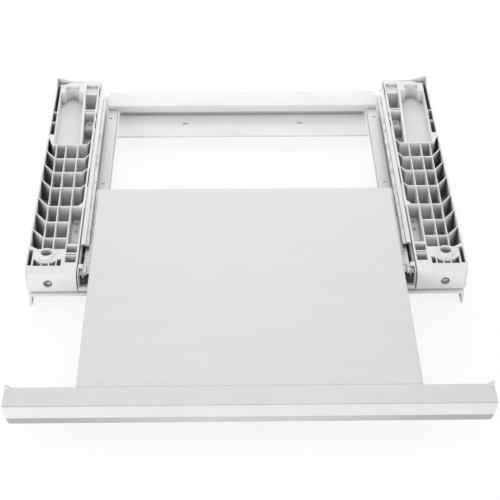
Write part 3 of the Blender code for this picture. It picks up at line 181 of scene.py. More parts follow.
@dataclass(frozen=True)
class Clouds:
    """A cloudy pattern between 0 and 1, with most of it near the middle.

    The size is that of one cloud in metres. The detail says how many times finer clouds are
    laid over it, and the stretch how much longer the clouds are along each axis.
    """

    size: float
    detail: float = 2.0
    stretch: Triple = (1.0, 1.0, 1.0)

    @property
    def cell(self) -> Triple:
        """Size of one cloud along each axis."""
        return tuple(self.size * part for part in self.stretch)


class Graph:
    """The node tree of one material or of the world."""

    def __init__(self, owner: bpy.types.Material | bpy.types.World) -> None:
        """Start an empty tree.

        Args:
            owner: The material or the world.
        """
        owner.use_nodes = True
        owner.node_tree.nodes.clear()
        self.owner = owner

    @cached_property
    def place(self) -> bpy.types.NodeSocket:
        """Place of a point on the piece, in metres."""
        return self.node("ShaderNodeTexCoord").outputs["Object"]

    def node(self, kind: str, settings: Mapping[str, object] | None = None,
             inputs: Mapping[str | int, object] | None = None) -> bpy.types.Node:
        """Add a node.

        Args:
            kind: Type of the node.
            settings: The node's own settings, which are set first.
            inputs: Values or links of its sockets, by name or number.

        Returns:
            The node.
        """
        item = self.owner.node_tree.nodes.new(kind)
        for name, value in (settings or {}).items():
            setattr(item, name, value)
        for key, value in (inputs or {}).items():
            self.feed(item.inputs[key], value)
        return item

    def feed(self, socket: bpy.types.NodeSocket, value: object) -> None:
        """Give a socket its value or its link.

        Args:
            socket: The input.
            value: A number, a colour, a vector, a value of this graph or an output.
        """
        if isinstance(value, Value):
            value = value.socket
        if isinstance(value, bpy.types.NodeSocket):
            self.owner.node_tree.links.new(value, socket)
        elif socket.type == "RGBA":
            socket.default_value = (*value, 1.0)
        else:
            socket.default_value = value

    def maths(self, operation: str, *terms: Number) -> Value:
        """Work out a number."""
        item = self.node("ShaderNodeMath", {"operation": operation}, dict(enumerate(terms)))
        return Value(self, item.outputs[0])

    def clouds(self, pattern: Clouds) -> Value:
        """Add a cloudy pattern.

        Args:
            pattern: Its size, its detail and its stretch.

        Returns:
            The pattern.
        """
        place = self.node("ShaderNodeVectorMath", {"operation": "DIVIDE"}, {0: self.place, 1: pattern.cell})
        inputs = {"Vector": place.outputs[0], "Scale": 1.0, "Detail": pattern.detail}
        return Value(self, self.node("ShaderNodeTexNoise", None, inputs).outputs[0])

    def specks(self, pitch: float, radius: float) -> Value:
        """Small round specks on an uneven grid.

        Args:
            pitch: Mean distance between two specks in metres.
            radius: Radius of a speck in metres.

        Returns:
            1 in a speck and 0 outside.
        """
        inputs = {"Vector": self.place, "Scale": 1.0 / pitch}
        distance = Value(self, self.node("ShaderNodeTexVoronoi", None, inputs).outputs["Distance"])
        return 1 - distance.rise(0.5 * radius / pitch, radius / pitch)

    def along(self, first: bpy.types.NodeSocket, second: Triple | bpy.types.NodeSocket) -> Value:
        """Dot product of two directions."""
        item = self.node("ShaderNodeVectorMath", {"operation": "DOT_PRODUCT"}, {0: first, 1: second})
        return Value(self, item.outputs["Value"])

    def edges(self, reach: float) -> Value:
        """Mask of the edges, where a finish wears first.

        Args:
            reach: How far from the edge the mask goes in metres.

        Returns:
            1 at an edge and 0 on an open face.
        """
        soft = self.node("ShaderNodeBevel", {"samples": EDGE_SAMPLES}, {"Radius": reach}).outputs[0]
        true = self.node("ShaderNodeNewGeometry").outputs["Normal"]
        return 1 - self.along(soft, true).rise(*EDGE_STEP)

    def corners(self, reach: float) -> Value:
        """Mask of the inner corners, where dust and grease gather and where shade is painted.

        Args:
            reach: How far the corner's other face may be in metres.

        Returns:
            1 far into a corner and 0 in the open.
        """
        settings = {"samples": CORNER_SAMPLES, "only_local": True}
        return 1 - Value(self, self.node("ShaderNodeAmbientOcclusion", settings,
                                         {"Distance": reach}).outputs["AO"])

    def facing(self, direction: Triple) -> Value:
        """How far the faces look along a direction, either way."""
        normal = self.node("ShaderNodeNewGeometry").outputs["Normal"]
        return self.maths("ABSOLUTE", self.along(normal, direction))

    def blend(self, share: Number, first: object, second: object) -> bpy.types.NodeSocket:
        """Blend two colours."""
        item = self.node("ShaderNodeMix", {"data_type": "RGBA"}, {0: share, 6: first, 7: second})
        return item.outputs[2]

    def relief(self, height: Value, depth: float) -> bpy.types.NodeSocket:
        """Normal of a surface with fine hills and hollows."""
        return self.node("ShaderNodeBump", None, {"Distance": depth, "Height": height}).outputs[0]

    def surface(self, inputs: Mapping[str | int, object]) -> bpy.types.Material:
        """Close a material's graph with its surface.

        Args:
            inputs: Values or links of the surface's sockets.

        Returns:
            The material.
        """
        shader = self.node("ShaderNodeBsdfPrincipled", None, inputs)
        self.node("ShaderNodeOutputMaterial", None, {"Surface": shader.outputs[0]})
        return self.owner


@dataclass(frozen=True)
class MouldedPlastic:
    """Moulded plastic with an eroded grain, flow marks, rubbed edges, dust in its corners, painted shade
    deep in its corners, and painted shade on slanted and end faces where its share is set.

    A step is the pair of values between which a mask grows from 0 to 1.
    """

    colour: Triple = (0.86, 0.86, 0.855)
    roughness: float = 0.46
    ior: float = 1.50
    grain: Clouds = Clouds(0.0006, 3.0)
    grain_depth: float = 0.000008
    grain_roughness: float = 0.10
    flow: Triple = (0.83, 0.83, 0.823)
    flow_clouds: Clouds = Clouds(0.035, 3.0, (1.0, 3.5, 1.0))
    flow_step: Point = (0.35, 0.70)
    flow_share: float = 0.7
    scuffs: Clouds = Clouds(0.006, 4.0, (1.0, 6.0, 1.0))
    scuff_step: Point = (0.60, 0.72)
    scuff_height: float = 0.3
    scuff_roughness: float = 0.08
    rubbed: Triple = (0.88, 0.88, 0.875)
    rubbed_reach: float = 0.0008
    rubbed_share: float = 0.6
    rubbed_shine: float = 0.08
    dust: Triple = (0.60, 0.59, 0.57)
    dust_reach: float = 0.007
    dust_patches: float = 0.5
    dust_step: Point = (0.45, 0.95)
    dust_share: float = 0.35
    dust_roughness: float = 0.12
    # Painted shade: a near-black colour laid deep in narrow corners and cells, where shade falls
    painted_shade: Triple = (0.12, 0.12, 0.12)
    painted_shade_reach: float = 0.020
    painted_shade_step: Point = (0.43, 0.86)
    painted_shade_share: float = 0.68
    # Painted shade on slanted faces and end faces, darker towards the piece's ends
    slant_shade: Triple = (0.28, 0.28, 0.275)
    slant_shade_share: float = 0.0
    slant_shade_reach: Point = (0.05, 0.29)
    slant_shade_middle: float = 0.30
    slant_start: Point = (0.25, 0.37)
    slant_stop: Point = (0.45, 0.60)
    end_step: Point = (0.90, 0.97)
    end_share: float = 0.7

    def material(self, name: str) -> bpy.types.Material:
        """Build the material.

        Args:
            name: Its name.

        Returns:
            The material.
        """
        graph = Graph(bpy.data.materials.new(name))
        grain, flow = graph.clouds(self.grain), graph.clouds(self.flow_clouds)
        scuffs = graph.clouds(self.scuffs).rise(*self.scuff_step)
        edges = graph.edges(self.rubbed_reach)
        patches = graph.corners(self.dust_reach) + self.dust_patches * (flow - CLOUD_MEAN)
        dust = patches.rise(*self.dust_step) * self.dust_share
        # Painted shade: darkens deep, narrow corners and cells towards a near-black colour
        painted_shade = graph.corners(self.painted_shade_reach).rise(*self.painted_shade_step) * self.painted_shade_share
        colour = graph.blend(flow.rise(*self.flow_step) * self.flow_share, self.colour, self.flow)
        colour = graph.blend(dust, colour, self.dust)
        colour = graph.blend(painted_shade, colour, self.painted_shade)
        # Painted shade on the slanted faces and the end faces, where its share is set
        if self.slant_shade_share:
            colour = graph.blend(self.slant_shade_share * self.handled(graph), colour, self.slant_shade)
        colour = graph.blend(self.rubbed_share * edges, colour, self.rubbed)
        roughness = (self.roughness + self.grain_roughness * (grain - CLOUD_MEAN)
                     + self.scuff_roughness * scuffs + self.dust_roughness * dust
                     - self.rubbed_shine * edges)
        normal = graph.relief(grain + self.scuff_height * scuffs, self.grain_depth)
        return graph.surface({"Base Color": colour, "Roughness": roughness, "Normal": normal,
                              "IOR": self.ior})

    def handled(self, graph: Graph) -> Value:
        """Mask of the slanted faces and the end faces, where shade is painted.

        Args:
            graph: The material's graph.

        Returns:
            Up to 1 on the slanted faces, with less in the middle, and less than 1 on the end faces.
        """
        across = graph.node("ShaderNodeSeparateXYZ", None, {0: graph.place}).outputs[0]
        spread = graph.maths("ABSOLUTE", Value(graph, across)).rise(*self.slant_shade_reach)
        level = graph.facing((0.0, 0.0, 1.0))
        slant = level.rise(*self.slant_start) - level.rise(*self.slant_stop)
        ends = graph.facing((1.0, 0.0, 0.0)).rise(*self.end_step)
        return slant * (self.slant_shade_middle + (1 - self.slant_shade_middle) * spread) + self.end_share * ends


@dataclass(frozen=True)
class BakedPaint:
    """Baked paint on sheet steel, with orange peel, faint smears, pits and thin edges.

    Shade is painted along its creases and in its narrow holes, as a darker colour.
    """

    colour: Triple = (0.80, 0.80, 0.80)
    roughness: float = 0.34
    ior: float = 1.52
    peel: Clouds = Clouds(0.0022, 1.0)
    peel_depth: float = 0.000010
    peel_roughness: float = 0.05
    smear: Triple = (0.775, 0.775, 0.772)
    smear_clouds: Clouds = Clouds(0.030, 4.0, (3.0, 1.0, 1.0))
    smear_step: Point = (0.48, 0.72)
    smear_share: float = 0.6
    smear_roughness: float = 0.07
    thin: Triple = (0.70, 0.70, 0.70)
    thin_reach: float = 0.0007
    thin_share: float = 0.35
    pit_pitch: float = 0.016
    pit_radius: float = 0.00035
    pit_share: float = 0.30
    pit_height: float = 2.0
    dust_reach: float = 0.006
    dust_step: Point = (0.45, 0.95)
    dust_share: float = 0.25
    dust_roughness: float = 0.10
    # Painted shade: a near-black colour along inner creases and in narrow holes
    crease: Triple = (0.10, 0.10, 0.10)
    crease_reach: float = 0.0040
    crease_step: Point = (0.32, 0.54)
    crease_share: float = 0.50
    hole_shade_reach: float = 0.010
    hole_shade_step: Point = (0.44, 0.62)
    hole_shade_share: float = 0.88

    def material(self, name: str) -> bpy.types.Material:
        """Build the material.

        Args:
            name: Its name.

        Returns:
            The material.
        """
        graph = Graph(bpy.data.materials.new(name))
        peel = graph.clouds(self.peel)
        smears = graph.clouds(self.smear_clouds).rise(*self.smear_step)
        pits = graph.specks(self.pit_pitch, self.pit_radius)
        edges = graph.edges(self.thin_reach)
        dust = graph.corners(self.dust_reach).rise(*self.dust_step)
        # Painted shade: a dark line along inner creases and a dark fill in narrow holes
        crease = graph.corners(self.crease_reach).rise(*self.crease_step) * self.crease_share
        hole = graph.corners(self.hole_shade_reach).rise(*self.hole_shade_step) * self.hole_shade_share
        colour = graph.blend(self.smear_share * smears, self.colour, self.smear)
        worn = self.thin_share * edges + self.dust_share * dust + self.pit_share * pits
        colour = graph.blend(worn, colour, self.thin)
        colour = graph.blend(graph.maths("MAXIMUM", crease, hole), colour, self.crease)
        roughness = (self.roughness + self.smear_roughness * smears
                     + self.peel_roughness * (peel - CLOUD_MEAN) + self.dust_roughness * dust)
        normal = graph.relief(peel - self.pit_height * pits, self.peel_depth)
        return graph.surface({"Base Color": colour, "Roughness": roughness, "Normal": normal,
                              "IOR": self.ior})


@dataclass(frozen=True)
class ZincSteel:
    """Zinc-plated steel with drawing lines, dull bloom, a film of grease in its corners, and painted shade
    deep in its corners.
    """

    colour: Triple = (0.49, 0.49, 0.495)
    roughness: float = 0.42
    metal: float = 0.62
    lines: Clouds = Clouds(0.00035, 2.0, (1.0, 60.0, 1.0))
    line_depth: float = 0.000004
    line_roughness: float = 0.16
    bloom: Triple = (0.42, 0.425, 0.43)
    bloom_clouds: Clouds = Clouds(0.008, 4.0)
    bloom_step: Point = (0.46, 0.66)
    bloom_share: float = 0.7
    bloom_roughness: float = 0.14
    bloom_cover: float = 0.20
    corner_reach: float = 0.004
    grease: Triple = (0.28, 0.27, 0.24)
    grease_clouds: Clouds = Clouds(0.005, 2.0)
    grease_step: Point = (0.16, 0.45)
    grease_share: float = 0.5
    grease_shine: float = 0.06
    # Painted shade: a near-black colour deep in the corners
    crease: Triple = (0.08, 0.08, 0.08)
    crease_step: Point = (0.45, 0.90)
    crease_share: float = 0.8
    edge_reach: float = 0.0005
    edge_shine: float = 0.06

    def material(self, name: str) -> bpy.types.Material:
        """Build the material.

        Args:
            name: Its name.

        Returns:
            The material.
        """
        graph = Graph(bpy.data.materials.new(name))
        lines = graph.clouds(self.lines)
        bloom = graph.clouds(self.bloom_clouds).rise(*self.bloom_step)
        corners = graph.corners(self.corner_reach)
        grease = (corners * graph.clouds(self.grease_clouds)).rise(*self.grease_step)
        edges = graph.edges(self.edge_reach)
        colour = graph.blend(self.bloom_share * bloom, self.colour, self.bloom)
        colour = graph.blend(self.grease_share * grease, colour, self.grease)
        # Painted shade: the zinc is darkened towards black deep in its corners
        colour = graph.blend(self.crease_share * corners.rise(*self.crease_step), colour, self.crease)
        roughness = (self.roughness + self.line_roughness * (lines - CLOUD_MEAN)
                     + self.bloom_roughness * bloom - self.edge_shine * edges - self.grease_shine * grease)
        normal = graph.relief(lines, self.line_depth)
        return graph.surface({"Base Color": colour, "Roughness": roughness, "Normal": normal,
                              "Metallic": self.metal - self.bloom_cover * bloom})


@dataclass(frozen=True)
class PolishedSteel:
    """Bright rolled steel with fine scratches and an oil film."""

    colour: Triple = (0.78, 0.78, 0.77)
    roughness: float = 0.14
    scratches: Clouds = Clouds(0.00025, 3.0, (1.0, 25.0, 1.0))
    scratch_depth: float = 0.000002
    scratch_roughness: float = 0.14
    oil: Triple = (0.58, 0.54, 0.46)
    oil_clouds: Clouds = Clouds(0.004, 3.0)
    oil_step: Point = (0.50, 0.68)
    oil_share: float = 0.45
    oil_roughness: float = 0.08

    def material(self, name: str) -> bpy.types.Material:
        """Build the material.

        Args:
            name: Its name.

        Returns:
            The material.
        """
        graph = Graph(bpy.data.materials.new(name))
        scratches = graph.clouds(self.scratches)
        oil = graph.clouds(self.oil_clouds).rise(*self.oil_step)
        colour = graph.blend(self.oil_share * oil, self.colour, self.oil)
        roughness = (self.roughness + self.scratch_roughness * (scratches - CLOUD_MEAN)
                     + self.oil_roughness * oil)
        normal = graph.relief(scratches, self.scratch_depth)
        return graph.surface({"Base Color": colour, "Roughness": roughness, "Normal": normal,
                              "Metallic": 1.0})


def bend(before: Point, corner: Point, after: Point, radius: float, steps: int) -> list[Point]:
    """Round one corner of a line.

    Args:
        before: Point before the corner.
        corner: The corner.
        after: Point after it.
        radius: Radius of the arc, or 0 to keep the corner.
        steps: Parts of the arc.

    Returns:
        Points of the arc, or the corner alone.
    """
    here = Vector(corner)
    back, ahead = ((Vector(other) - here).normalized() for other in (before, after))
    half = back.angle(ahead) / 2
    if radius == 0:
        return [corner]
    middle = here + (back + ahead).normalized() * radius / math.sin(half)
    start, end = (here + way * radius / math.tan(half) - middle for way in (back, ahead))
    sweep = math.atan2(start.cross(end), start.dot(end))
    turns = (Matrix.Rotation(sweep * step / steps, 2) for step in range(steps + 1))
    return [tuple(middle + turn @ start) for turn in turns]


def rounded(corners: Sequence[Point], radii: float | Sequence[float],
            steps: int = ARC_STEPS) -> list[Point]:
    """Round the corners of a closed outline.

    Args:
        corners: Its corners in order.
        radii: One radius, or one for each corner.
        steps: Parts of each arc.

    Returns:
        Points of the outline, without the ones that fall on the point before.
    """
    count = len(corners)
    sizes = [radii] * count if isinstance(radii, (int, float)) else radii
    arcs = (bend(corners[place - 1], corners[place], corners[(place + 1) % count], sizes[place], steps)
            for place in range(count))
    points = [point for arc in arcs for point in arc]
    return [point for place, point in enumerate(points) if math.dist(point, points[place - 1]) > WELD]


def rectangle(across: Point, along: Point, radius: float = 0.0, steps: int = ARC_STEPS) -> list[Point]:
    """Outline of a rectangle."""
    corners = [(across[0], along[0]), (across[1], along[0]), (across[1], along[1]), (across[0], along[1])]
    return rounded(corners, radius, steps)


def circle(middle: Point, radius: float, steps: int = TURN_STEPS) -> list[Point]:
    """Outline of a circle."""
    angles = (math.tau * step / steps for step in range(steps))
    return [(middle[0] + radius * math.cos(turn), middle[1] + radius * math.sin(turn)) for turn in angles]


def folded(path: Sequence[Point], sheet: float, radius: float, steps: int = ARC_STEPS) -> list[Point]:
    """Section of a folded sheet.

    Args:
        path: Middle line of the sheet with sharp corners.
        sheet: Thickness of the sheet.
        radius: Inner radius of its folds.
        steps: Parts of each fold.

    Returns:
        Points of the section's outline.
    """
    line = [path[0]]
    for before, corner, after in zip(path, path[1:], path[2:]):
        line += bend(before, corner, after, radius + sheet / 2, steps)
    line.append(path[-1])
    last = len(line) - 1
    sides: tuple[list[Point], list[Point]] = ([], [])
    for place, point in enumerate(line):
        way = (Vector(line[min(place + 1, last)]) - Vector(line[max(place - 1, 0)])).normalized()
        normal = Vector((-way.y, way.x)) * sheet / 2
        sides[0].append(tuple(Vector(point) + normal))
        sides[1].append(tuple(Vector(point) - normal))
    return sides[0] + sides[1][::-1]


class Solid:
    """A closed mesh while it is made."""

    def __init__(self) -> None:
        """Start with no faces."""
        self.work = bmesh.new()

    def prism(self, outline: Sequence[Point], plane: Plane, start: float, end: float) -> "Solid":
        """Add an outline drawn out between two places.

        Args:
            outline: Points of the outline.
            plane: The plane that it lies in.
            start: Place of one end along the third axis.
            end: Place of the other end.

        Returns:
            This solid.
        """
        first, second, along = (Vector(axis) for axis in plane.value)
        lower = [self.work.verts.new(first * a + second * b + along * start) for a, b in outline]
        face = self.work.faces.new(lower)
        grown = bmesh.ops.extrude_face_region(self.work, geom=[face], use_keep_orig=True)
        moved = [item for item in grown["geom"] if isinstance(item, bmesh.types.BMVert)]
        bmesh.ops.translate(self.work, vec=along * (end - start), verts=moved)
        bmesh.ops.recalc_face_normals(self.work, faces=self.work.faces)
        return self

    def turned(self, profile: Sequence[Point], place: Triple, facing: Triple,
               steps: int = TURN_STEPS) -> "Solid":
        """Add a body turned about an axis.

        Args:
            profile: Radius and height of its points, from the axis at one end to the axis at the other.
            place: The axis's point at height 0.
            facing: The way that the axis points.
            steps: Parts of one turn.

        Returns:
            This solid.
        """
        turn = Vector((0, 0, 1)).rotation_difference(Vector(facing)).to_matrix().to_4x4()
        seat = Matrix.Translation(place) @ turn
        rings = []
        for radius, height in profile[1:-1]:
            ring = circle((0, 0), radius, steps)
            rings.append([self.work.verts.new(seat @ Vector((a, b, height))) for a, b in ring])
        ends = [self.work.verts.new(seat @ Vector((0, 0, profile[index][1]))) for index in (0, -1)]
        for step in range(steps):
            following = (step + 1) % steps
            self.work.faces.new((ends[0], rings[0][step], rings[0][following]))
            self.work.faces.new((ends[1], rings[-1][following], rings[-1][step]))
            for lower, upper in zip(rings, rings[1:]):
                self.work.faces.new((lower[step], upper[step], upper[following], lower[following]))
        bmesh.ops.recalc_face_normals(self.work, faces=self.work.faces)
        return self

    def block(self, low: Vector, high: Vector, radius: float, steps: int = ARC_STEPS) -> "Solid":
        """Add a block whose upright and upper edges are round.

        Args:
            low: Its lowest corner.
            high: Its highest corner.
            radius: Radius of the edges.
            steps: Parts of each edge's arc.

        Returns:
            This solid.
        """
        middle = (low + high) / 2
        seat = Matrix.Translation(middle) @ Matrix.Diagonal((*(high - low), 1.0))
        corners = bmesh.ops.create_cube(self.work, size=1.0, matrix=seat)["verts"]
        edges = {edge for corner in corners for edge in corner.link_edges
                 if max(end.co.z for end in edge.verts) > middle.z}
        bmesh.ops.bevel(self.work, geom=list(edges), offset=radius, segments=steps,
                        profile=ROUND_PROFILE, affect="EDGES")
        return self

    def ball(self, middle: Triple, radius: float) -> "Solid":
        """Add a ball.

        Args:
            middle: Its middle.
            radius: Its radius.

        Returns:
            This solid.
        """
        bmesh.ops.create_icosphere(self.work, subdivisions=BALL_LEVELS, radius=radius,
                                   matrix=Matrix.Translation(middle))
        return self

    def cut(self, tool: "Solid") -> "Solid":
        """Take another solid away from this one."""
        return self.combined(tool, "DIFFERENCE")

    def joined(self, other: "Solid") -> "Solid":
        """Merge another solid into this one."""
        return self.combined(other, "UNION")

    def combined(self, tool: "Solid", operation: str) -> "Solid":
        """Combine this solid with another.

        Args:
            tool: The other solid.
            operation: The Boolean operation.

        Returns:
            This solid.
        """
        items = []
        for solid in (self, tool):
            items.append(bpy.data.objects.new("work", solid.mesh("work")))
            bpy.context.scene.collection.objects.link(items[-1])
        step = items[0].modifiers.new("step", "BOOLEAN")
        step.object = items[1]
        step.operation = operation
        step.solver = "EXACT"
        scene = bpy.context.evaluated_depsgraph_get()
        result = bpy.data.meshes.new_from_object(items[0].evaluated_get(scene))
        self.work.clear()
        self.work.from_mesh(result)
        bmesh.ops.remove_doubles(self.work, verts=self.work.verts, dist=WELD)
        for item in items:
            bpy.data.objects.remove(item)
        return self

    def mirrored(self, side: Side) -> "Solid":
        """Move this solid from the right-hand side to a side.

        Args:
            side: The side.

        Returns:
            This solid.
        """
        if side is Side.LEFT:
            bmesh.ops.scale(self.work, vec=(-1, 1, 1), verts=self.work.verts)
            bmesh.ops.reverse_faces(self.work, faces=self.work.faces)
        return self

    def mesh(self, name: str) -> bpy.types.Mesh:
        """Write this solid to a smooth-shaded mesh with sharp edges marked.

        Args:
            name: Name of the mesh.

        Returns:
            The mesh.
        """
        result = bpy.data.meshes.new(name)
        self.work.to_mesh(result)
        result.shade_smooth()
        result.set_sharp_from_angle(angle=SHARP_ANGLE)
        return result


class Workshop:
    """Turns solids into pieces, and dresses the nodes that stay."""

    def __init__(self, finishes: Mapping[Slot, bpy.types.Material]) -> None:
        """Take the finishes."""
        self.finishes = finishes
        self.smoother = self.make_smoother()

    @staticmethod
    def make_smoother() -> bpy.types.NodeTree:
        """Build the node group that shades a node's faces smooth.

        Returns:
            The group.
        """
        group = bpy.data.node_groups.new("smooth_faces", "GeometryNodeTree")
        for way in ("INPUT", "OUTPUT"):
            group.interface.new_socket("Geometry", in_out=way, socket_type="NodeSocketGeometry")
        kinds = ("NodeGroupInput", "GeometryNodeSetShadeSmooth", "NodeGroupOutput")
        items = [group.nodes.new(kind) for kind in kinds]
        for before, after in zip(items, items[1:]):
            group.links.new(before.outputs[0], after.inputs[0])
        return group

    @staticmethod
    def soften(item: bpy.types.Object, radius: float) -> None:
        """Round the sharp edges of a piece.

        Args:
            item: The piece.
            radius: Radius of its edges.
        """
        step = item.modifiers.new("soft_edges", "BEVEL")
        step.width = radius
        step.segments = EDGE_STEPS
        step.limit_method = "ANGLE"
        step.angle_limit = SHARP_ANGLE
        step.harden_normals = True
        step = item.modifiers.new("face_normals", "WEIGHTED_NORMAL")
        step.weight = FACE_WEIGHT

    def piece(self, name: str, solid: Solid, slot: Slot, body: str, nodes: Sequence[str],
              edge: float) -> None:
        """Add a piece that stands for nodes of the frame.

        Args:
            name: Name of the piece.
            solid: Its shape.
            slot: Its material slot.
            body: The body that it rides on.
            nodes: The nodes that it stands for.
            edge: Radius of its edges, or 0 to keep them.
        """
        item = bpy.data.objects.new(name, solid.mesh(name))
        bpy.context.scene.collection.objects.link(item)
        item.data.materials.append(self.finishes[slot])
        if edge:
            self.soften(item, edge)
        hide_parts(*nodes)
        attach(item, body)
        LOG.info("%s: %d faces, on %s, for %s", name, len(item.data.polygons), body, ", ".join(nodes))

    def keep(self, node: str, slot: Slot, edge: float) -> None:
        """Dress a node that stays: its finish, and soft edges.

        Args:
            node: Name of the node.
            slot: Its material slot.
            edge: Radius of its edges.
        """
        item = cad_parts[node]
        for place in item.material_slots:
            place.material = self.finishes[slot]
        weld = item.modifiers.new("weld", "WELD")
        weld.merge_threshold = WELD
        flat = item.modifiers.new("flat_faces", "DECIMATE")
        flat.decimate_type = "DISSOLVE"
        flat.angle_limit = FLAT_ANGLE
        smooth = item.modifiers.new("smooth_faces", "NODES")
        smooth.node_group = self.smoother
        self.soften(item, edge)
        LOG.info("%s: kept", node)


@dataclass(frozen=True)
class Box:
    """Lowest and highest corner of a node of the frame at rest."""

    low: Vector
    high: Vector

    @classmethod
    def of(cls, node: str) -> "Box":
        """Box of a node."""
        return cls(*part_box(node))

    @property
    def middle(self) -> Vector:
        """Middle of the box."""
        return (self.low + self.high) / 2


@dataclass
class Housing:
    """Ribbed plastic housing of one side, with its base plate."""

    side: Side
    edge: float = 0.0003

    def build(self, shop: Workshop) -> None:
        """Dress the housing and its base plate, whose shapes stay."""
        for kind in ("housing", "base_plate"):
            shop.keep(f"{kind}_{self.side.label}", Slot.WHITE_PLASTIC, self.edge)


@dataclass
class SideRail:
    """Folded sheet rail of one side: a top strip, a web, a lower flange and two tabs.

    The front plate and the strip's cuts end a little shy of the folded sheet's own faces.
    """

    side: Side
    sheet: float = 0.0015
    fold: float = 0.0003
    edge: float = 0.00012
    tab_length: float = 0.0181
    strip_width: float = 0.0070
    flange_width: float = 0.029
    web_notch: float = 0.006
    flange_rise: float = 0.009
    front_clearance: float = 0.0024
    strip_gaps: tuple[Point, ...] = ((-0.004, 0.0115), (0.0205, 0.0689), (0.5095, 0.540))
    tabs: tuple[Triple, ...] = ((0.1015, 0.1615, 0.003), (0.4110, 0.4357, 0.009))
    tab_corner: float = 0.0025
    front_corner: float = 0.0006
    shy: float = 0.00015
    slots: tuple[float, ...] = (0.2645, 0.4615)
    slot_inset: float = 0.010
    slot_size: Point = (0.0055, 0.0026)

    def build(self, shop: Workshop) -> None:
        """Build the rail.

        Args:
            shop: The workshop.
        """
        box = Box.of("side_rail_right")
        outer = box.high.x - self.tab_length
        inner = outer - self.flange_width
        half = self.sheet / 2
        top, flange = box.high.z - half, box.low.z + self.flange_rise - half
        path = [(outer - self.strip_width, top), (outer - half, top), (outer - half, flange),
                (inner + half, flange), (inner + half, box.low.z)]
        solid = Solid().prism(folded(path, self.sheet, self.fold), Plane.FRONT, box.low.y, box.high.y)
        solid.joined(self.front(box, inner, outer, flange))
        solid.joined(self.tab_plates(box, outer, flange + half))
        solid.cut(self.strip_cuts(box, outer)).cut(self.notch_cut(box, outer))
        solid.cut(self.slot_cuts(box, inner))
        node = f"side_rail_{self.side.label}"
        shop.piece(f"{node}_folded", solid.mirrored(self.side), Slot.WHITE_PAINT, "frame", [node], self.edge)

    def front(self, box: Box, inner: float, outer: float, flange: float) -> Solid:
        """Plate that is folded down at the lower flange's front end.

        Args:
            box: Box of the rail.
            inner: Inner limit of the rail.
            outer: Outer face of the web.
            flange: Height of the flange's middle.

        Returns:
            The plate.
        """
        left, right = inner + self.sheet + self.fold + self.shy, outer - self.shy
        corners = [(left, flange), (left, box.low.z + self.front_clearance),
                   (right, box.low.z + self.front_clearance), (right, flange)]
        outline = rounded(corners, (0.0, self.tab_corner, self.front_corner, 0.0))
        return Solid().prism(outline, Plane.FRONT, box.low.y, box.low.y + self.sheet)

    def tab_plates(self, box: Box, outer: float, flange_top: float) -> Solid:
        """Tabs that reach through the housing's windows.

        Args:
            box: Box of the rail.
            outer: Outer face of the web.
            flange_top: Height of the flange's top face.

        Returns:
            The tabs.
        """
        solid = Solid()
        for start, end, rise in self.tabs:
            corners = [(outer - self.sheet / 2, box.low.y + start), (box.high.x, box.low.y + start),
                       (box.high.x, box.low.y + end), (outer - self.sheet / 2, box.low.y + end)]
            outline = rounded(corners, (0.0, self.tab_corner, self.tab_corner, 0.0))
            solid.prism(outline, Plane.PLAN, flange_top + rise - self.sheet, flange_top + rise)
        return solid

    def strip_cuts(self, box: Box, outer: float) -> Solid:
        """Tools that open the top strip where the rail has none.

        Args:
            box: Box of the rail.
            outer: Outer face of the web.

        Returns:
            The tools.
        """
        solid = Solid()
        across = (outer - self.strip_width - OVERRUN, outer - self.sheet - self.fold - self.shy)
        for start, end in self.strip_gaps:
            outline = rectangle(across, (box.low.y + start, box.low.y + end))
            solid.prism(outline, Plane.PLAN, box.high.z - self.sheet - OVERRUN, box.high.z + OVERRUN)
        return solid

    def notch_cut(self, box: Box, outer: float) -> Solid:
        """Tool that lowers the web where the strip is left out near the front.

        Args:
            box: Box of the rail.
            outer: Outer face of the web.

        Returns:
            The tool.
        """
        start, end = (box.low.y + place for place in self.strip_gaps[1])
        outline = rectangle((outer - self.sheet - OVERRUN, outer + OVERRUN), (start, end))
        return Solid().prism(outline, Plane.PLAN, box.high.z - self.web_notch, box.high.z + OVERRUN)

    def slot_cuts(self, box: Box, inner: float) -> Solid:
        """Tools that cut the slots of the lower flange.

        Args:
            box: Box of the rail.
            inner: Inner limit of the rail.

        Returns:
            The tools.
        """
        solid = Solid()
        reach, width = (size / 2 for size in self.slot_size)
        out = inner + self.slot_inset
        for place in self.slots:
            back = box.low.y + place
            outline = rectangle((out - reach, out + reach), (back - width, back + width), width, SLOT_STEPS)
            solid.prism(outline, Plane.PLAN, box.low.z, box.low.z + self.flange_rise + OVERRUN)
        return solid


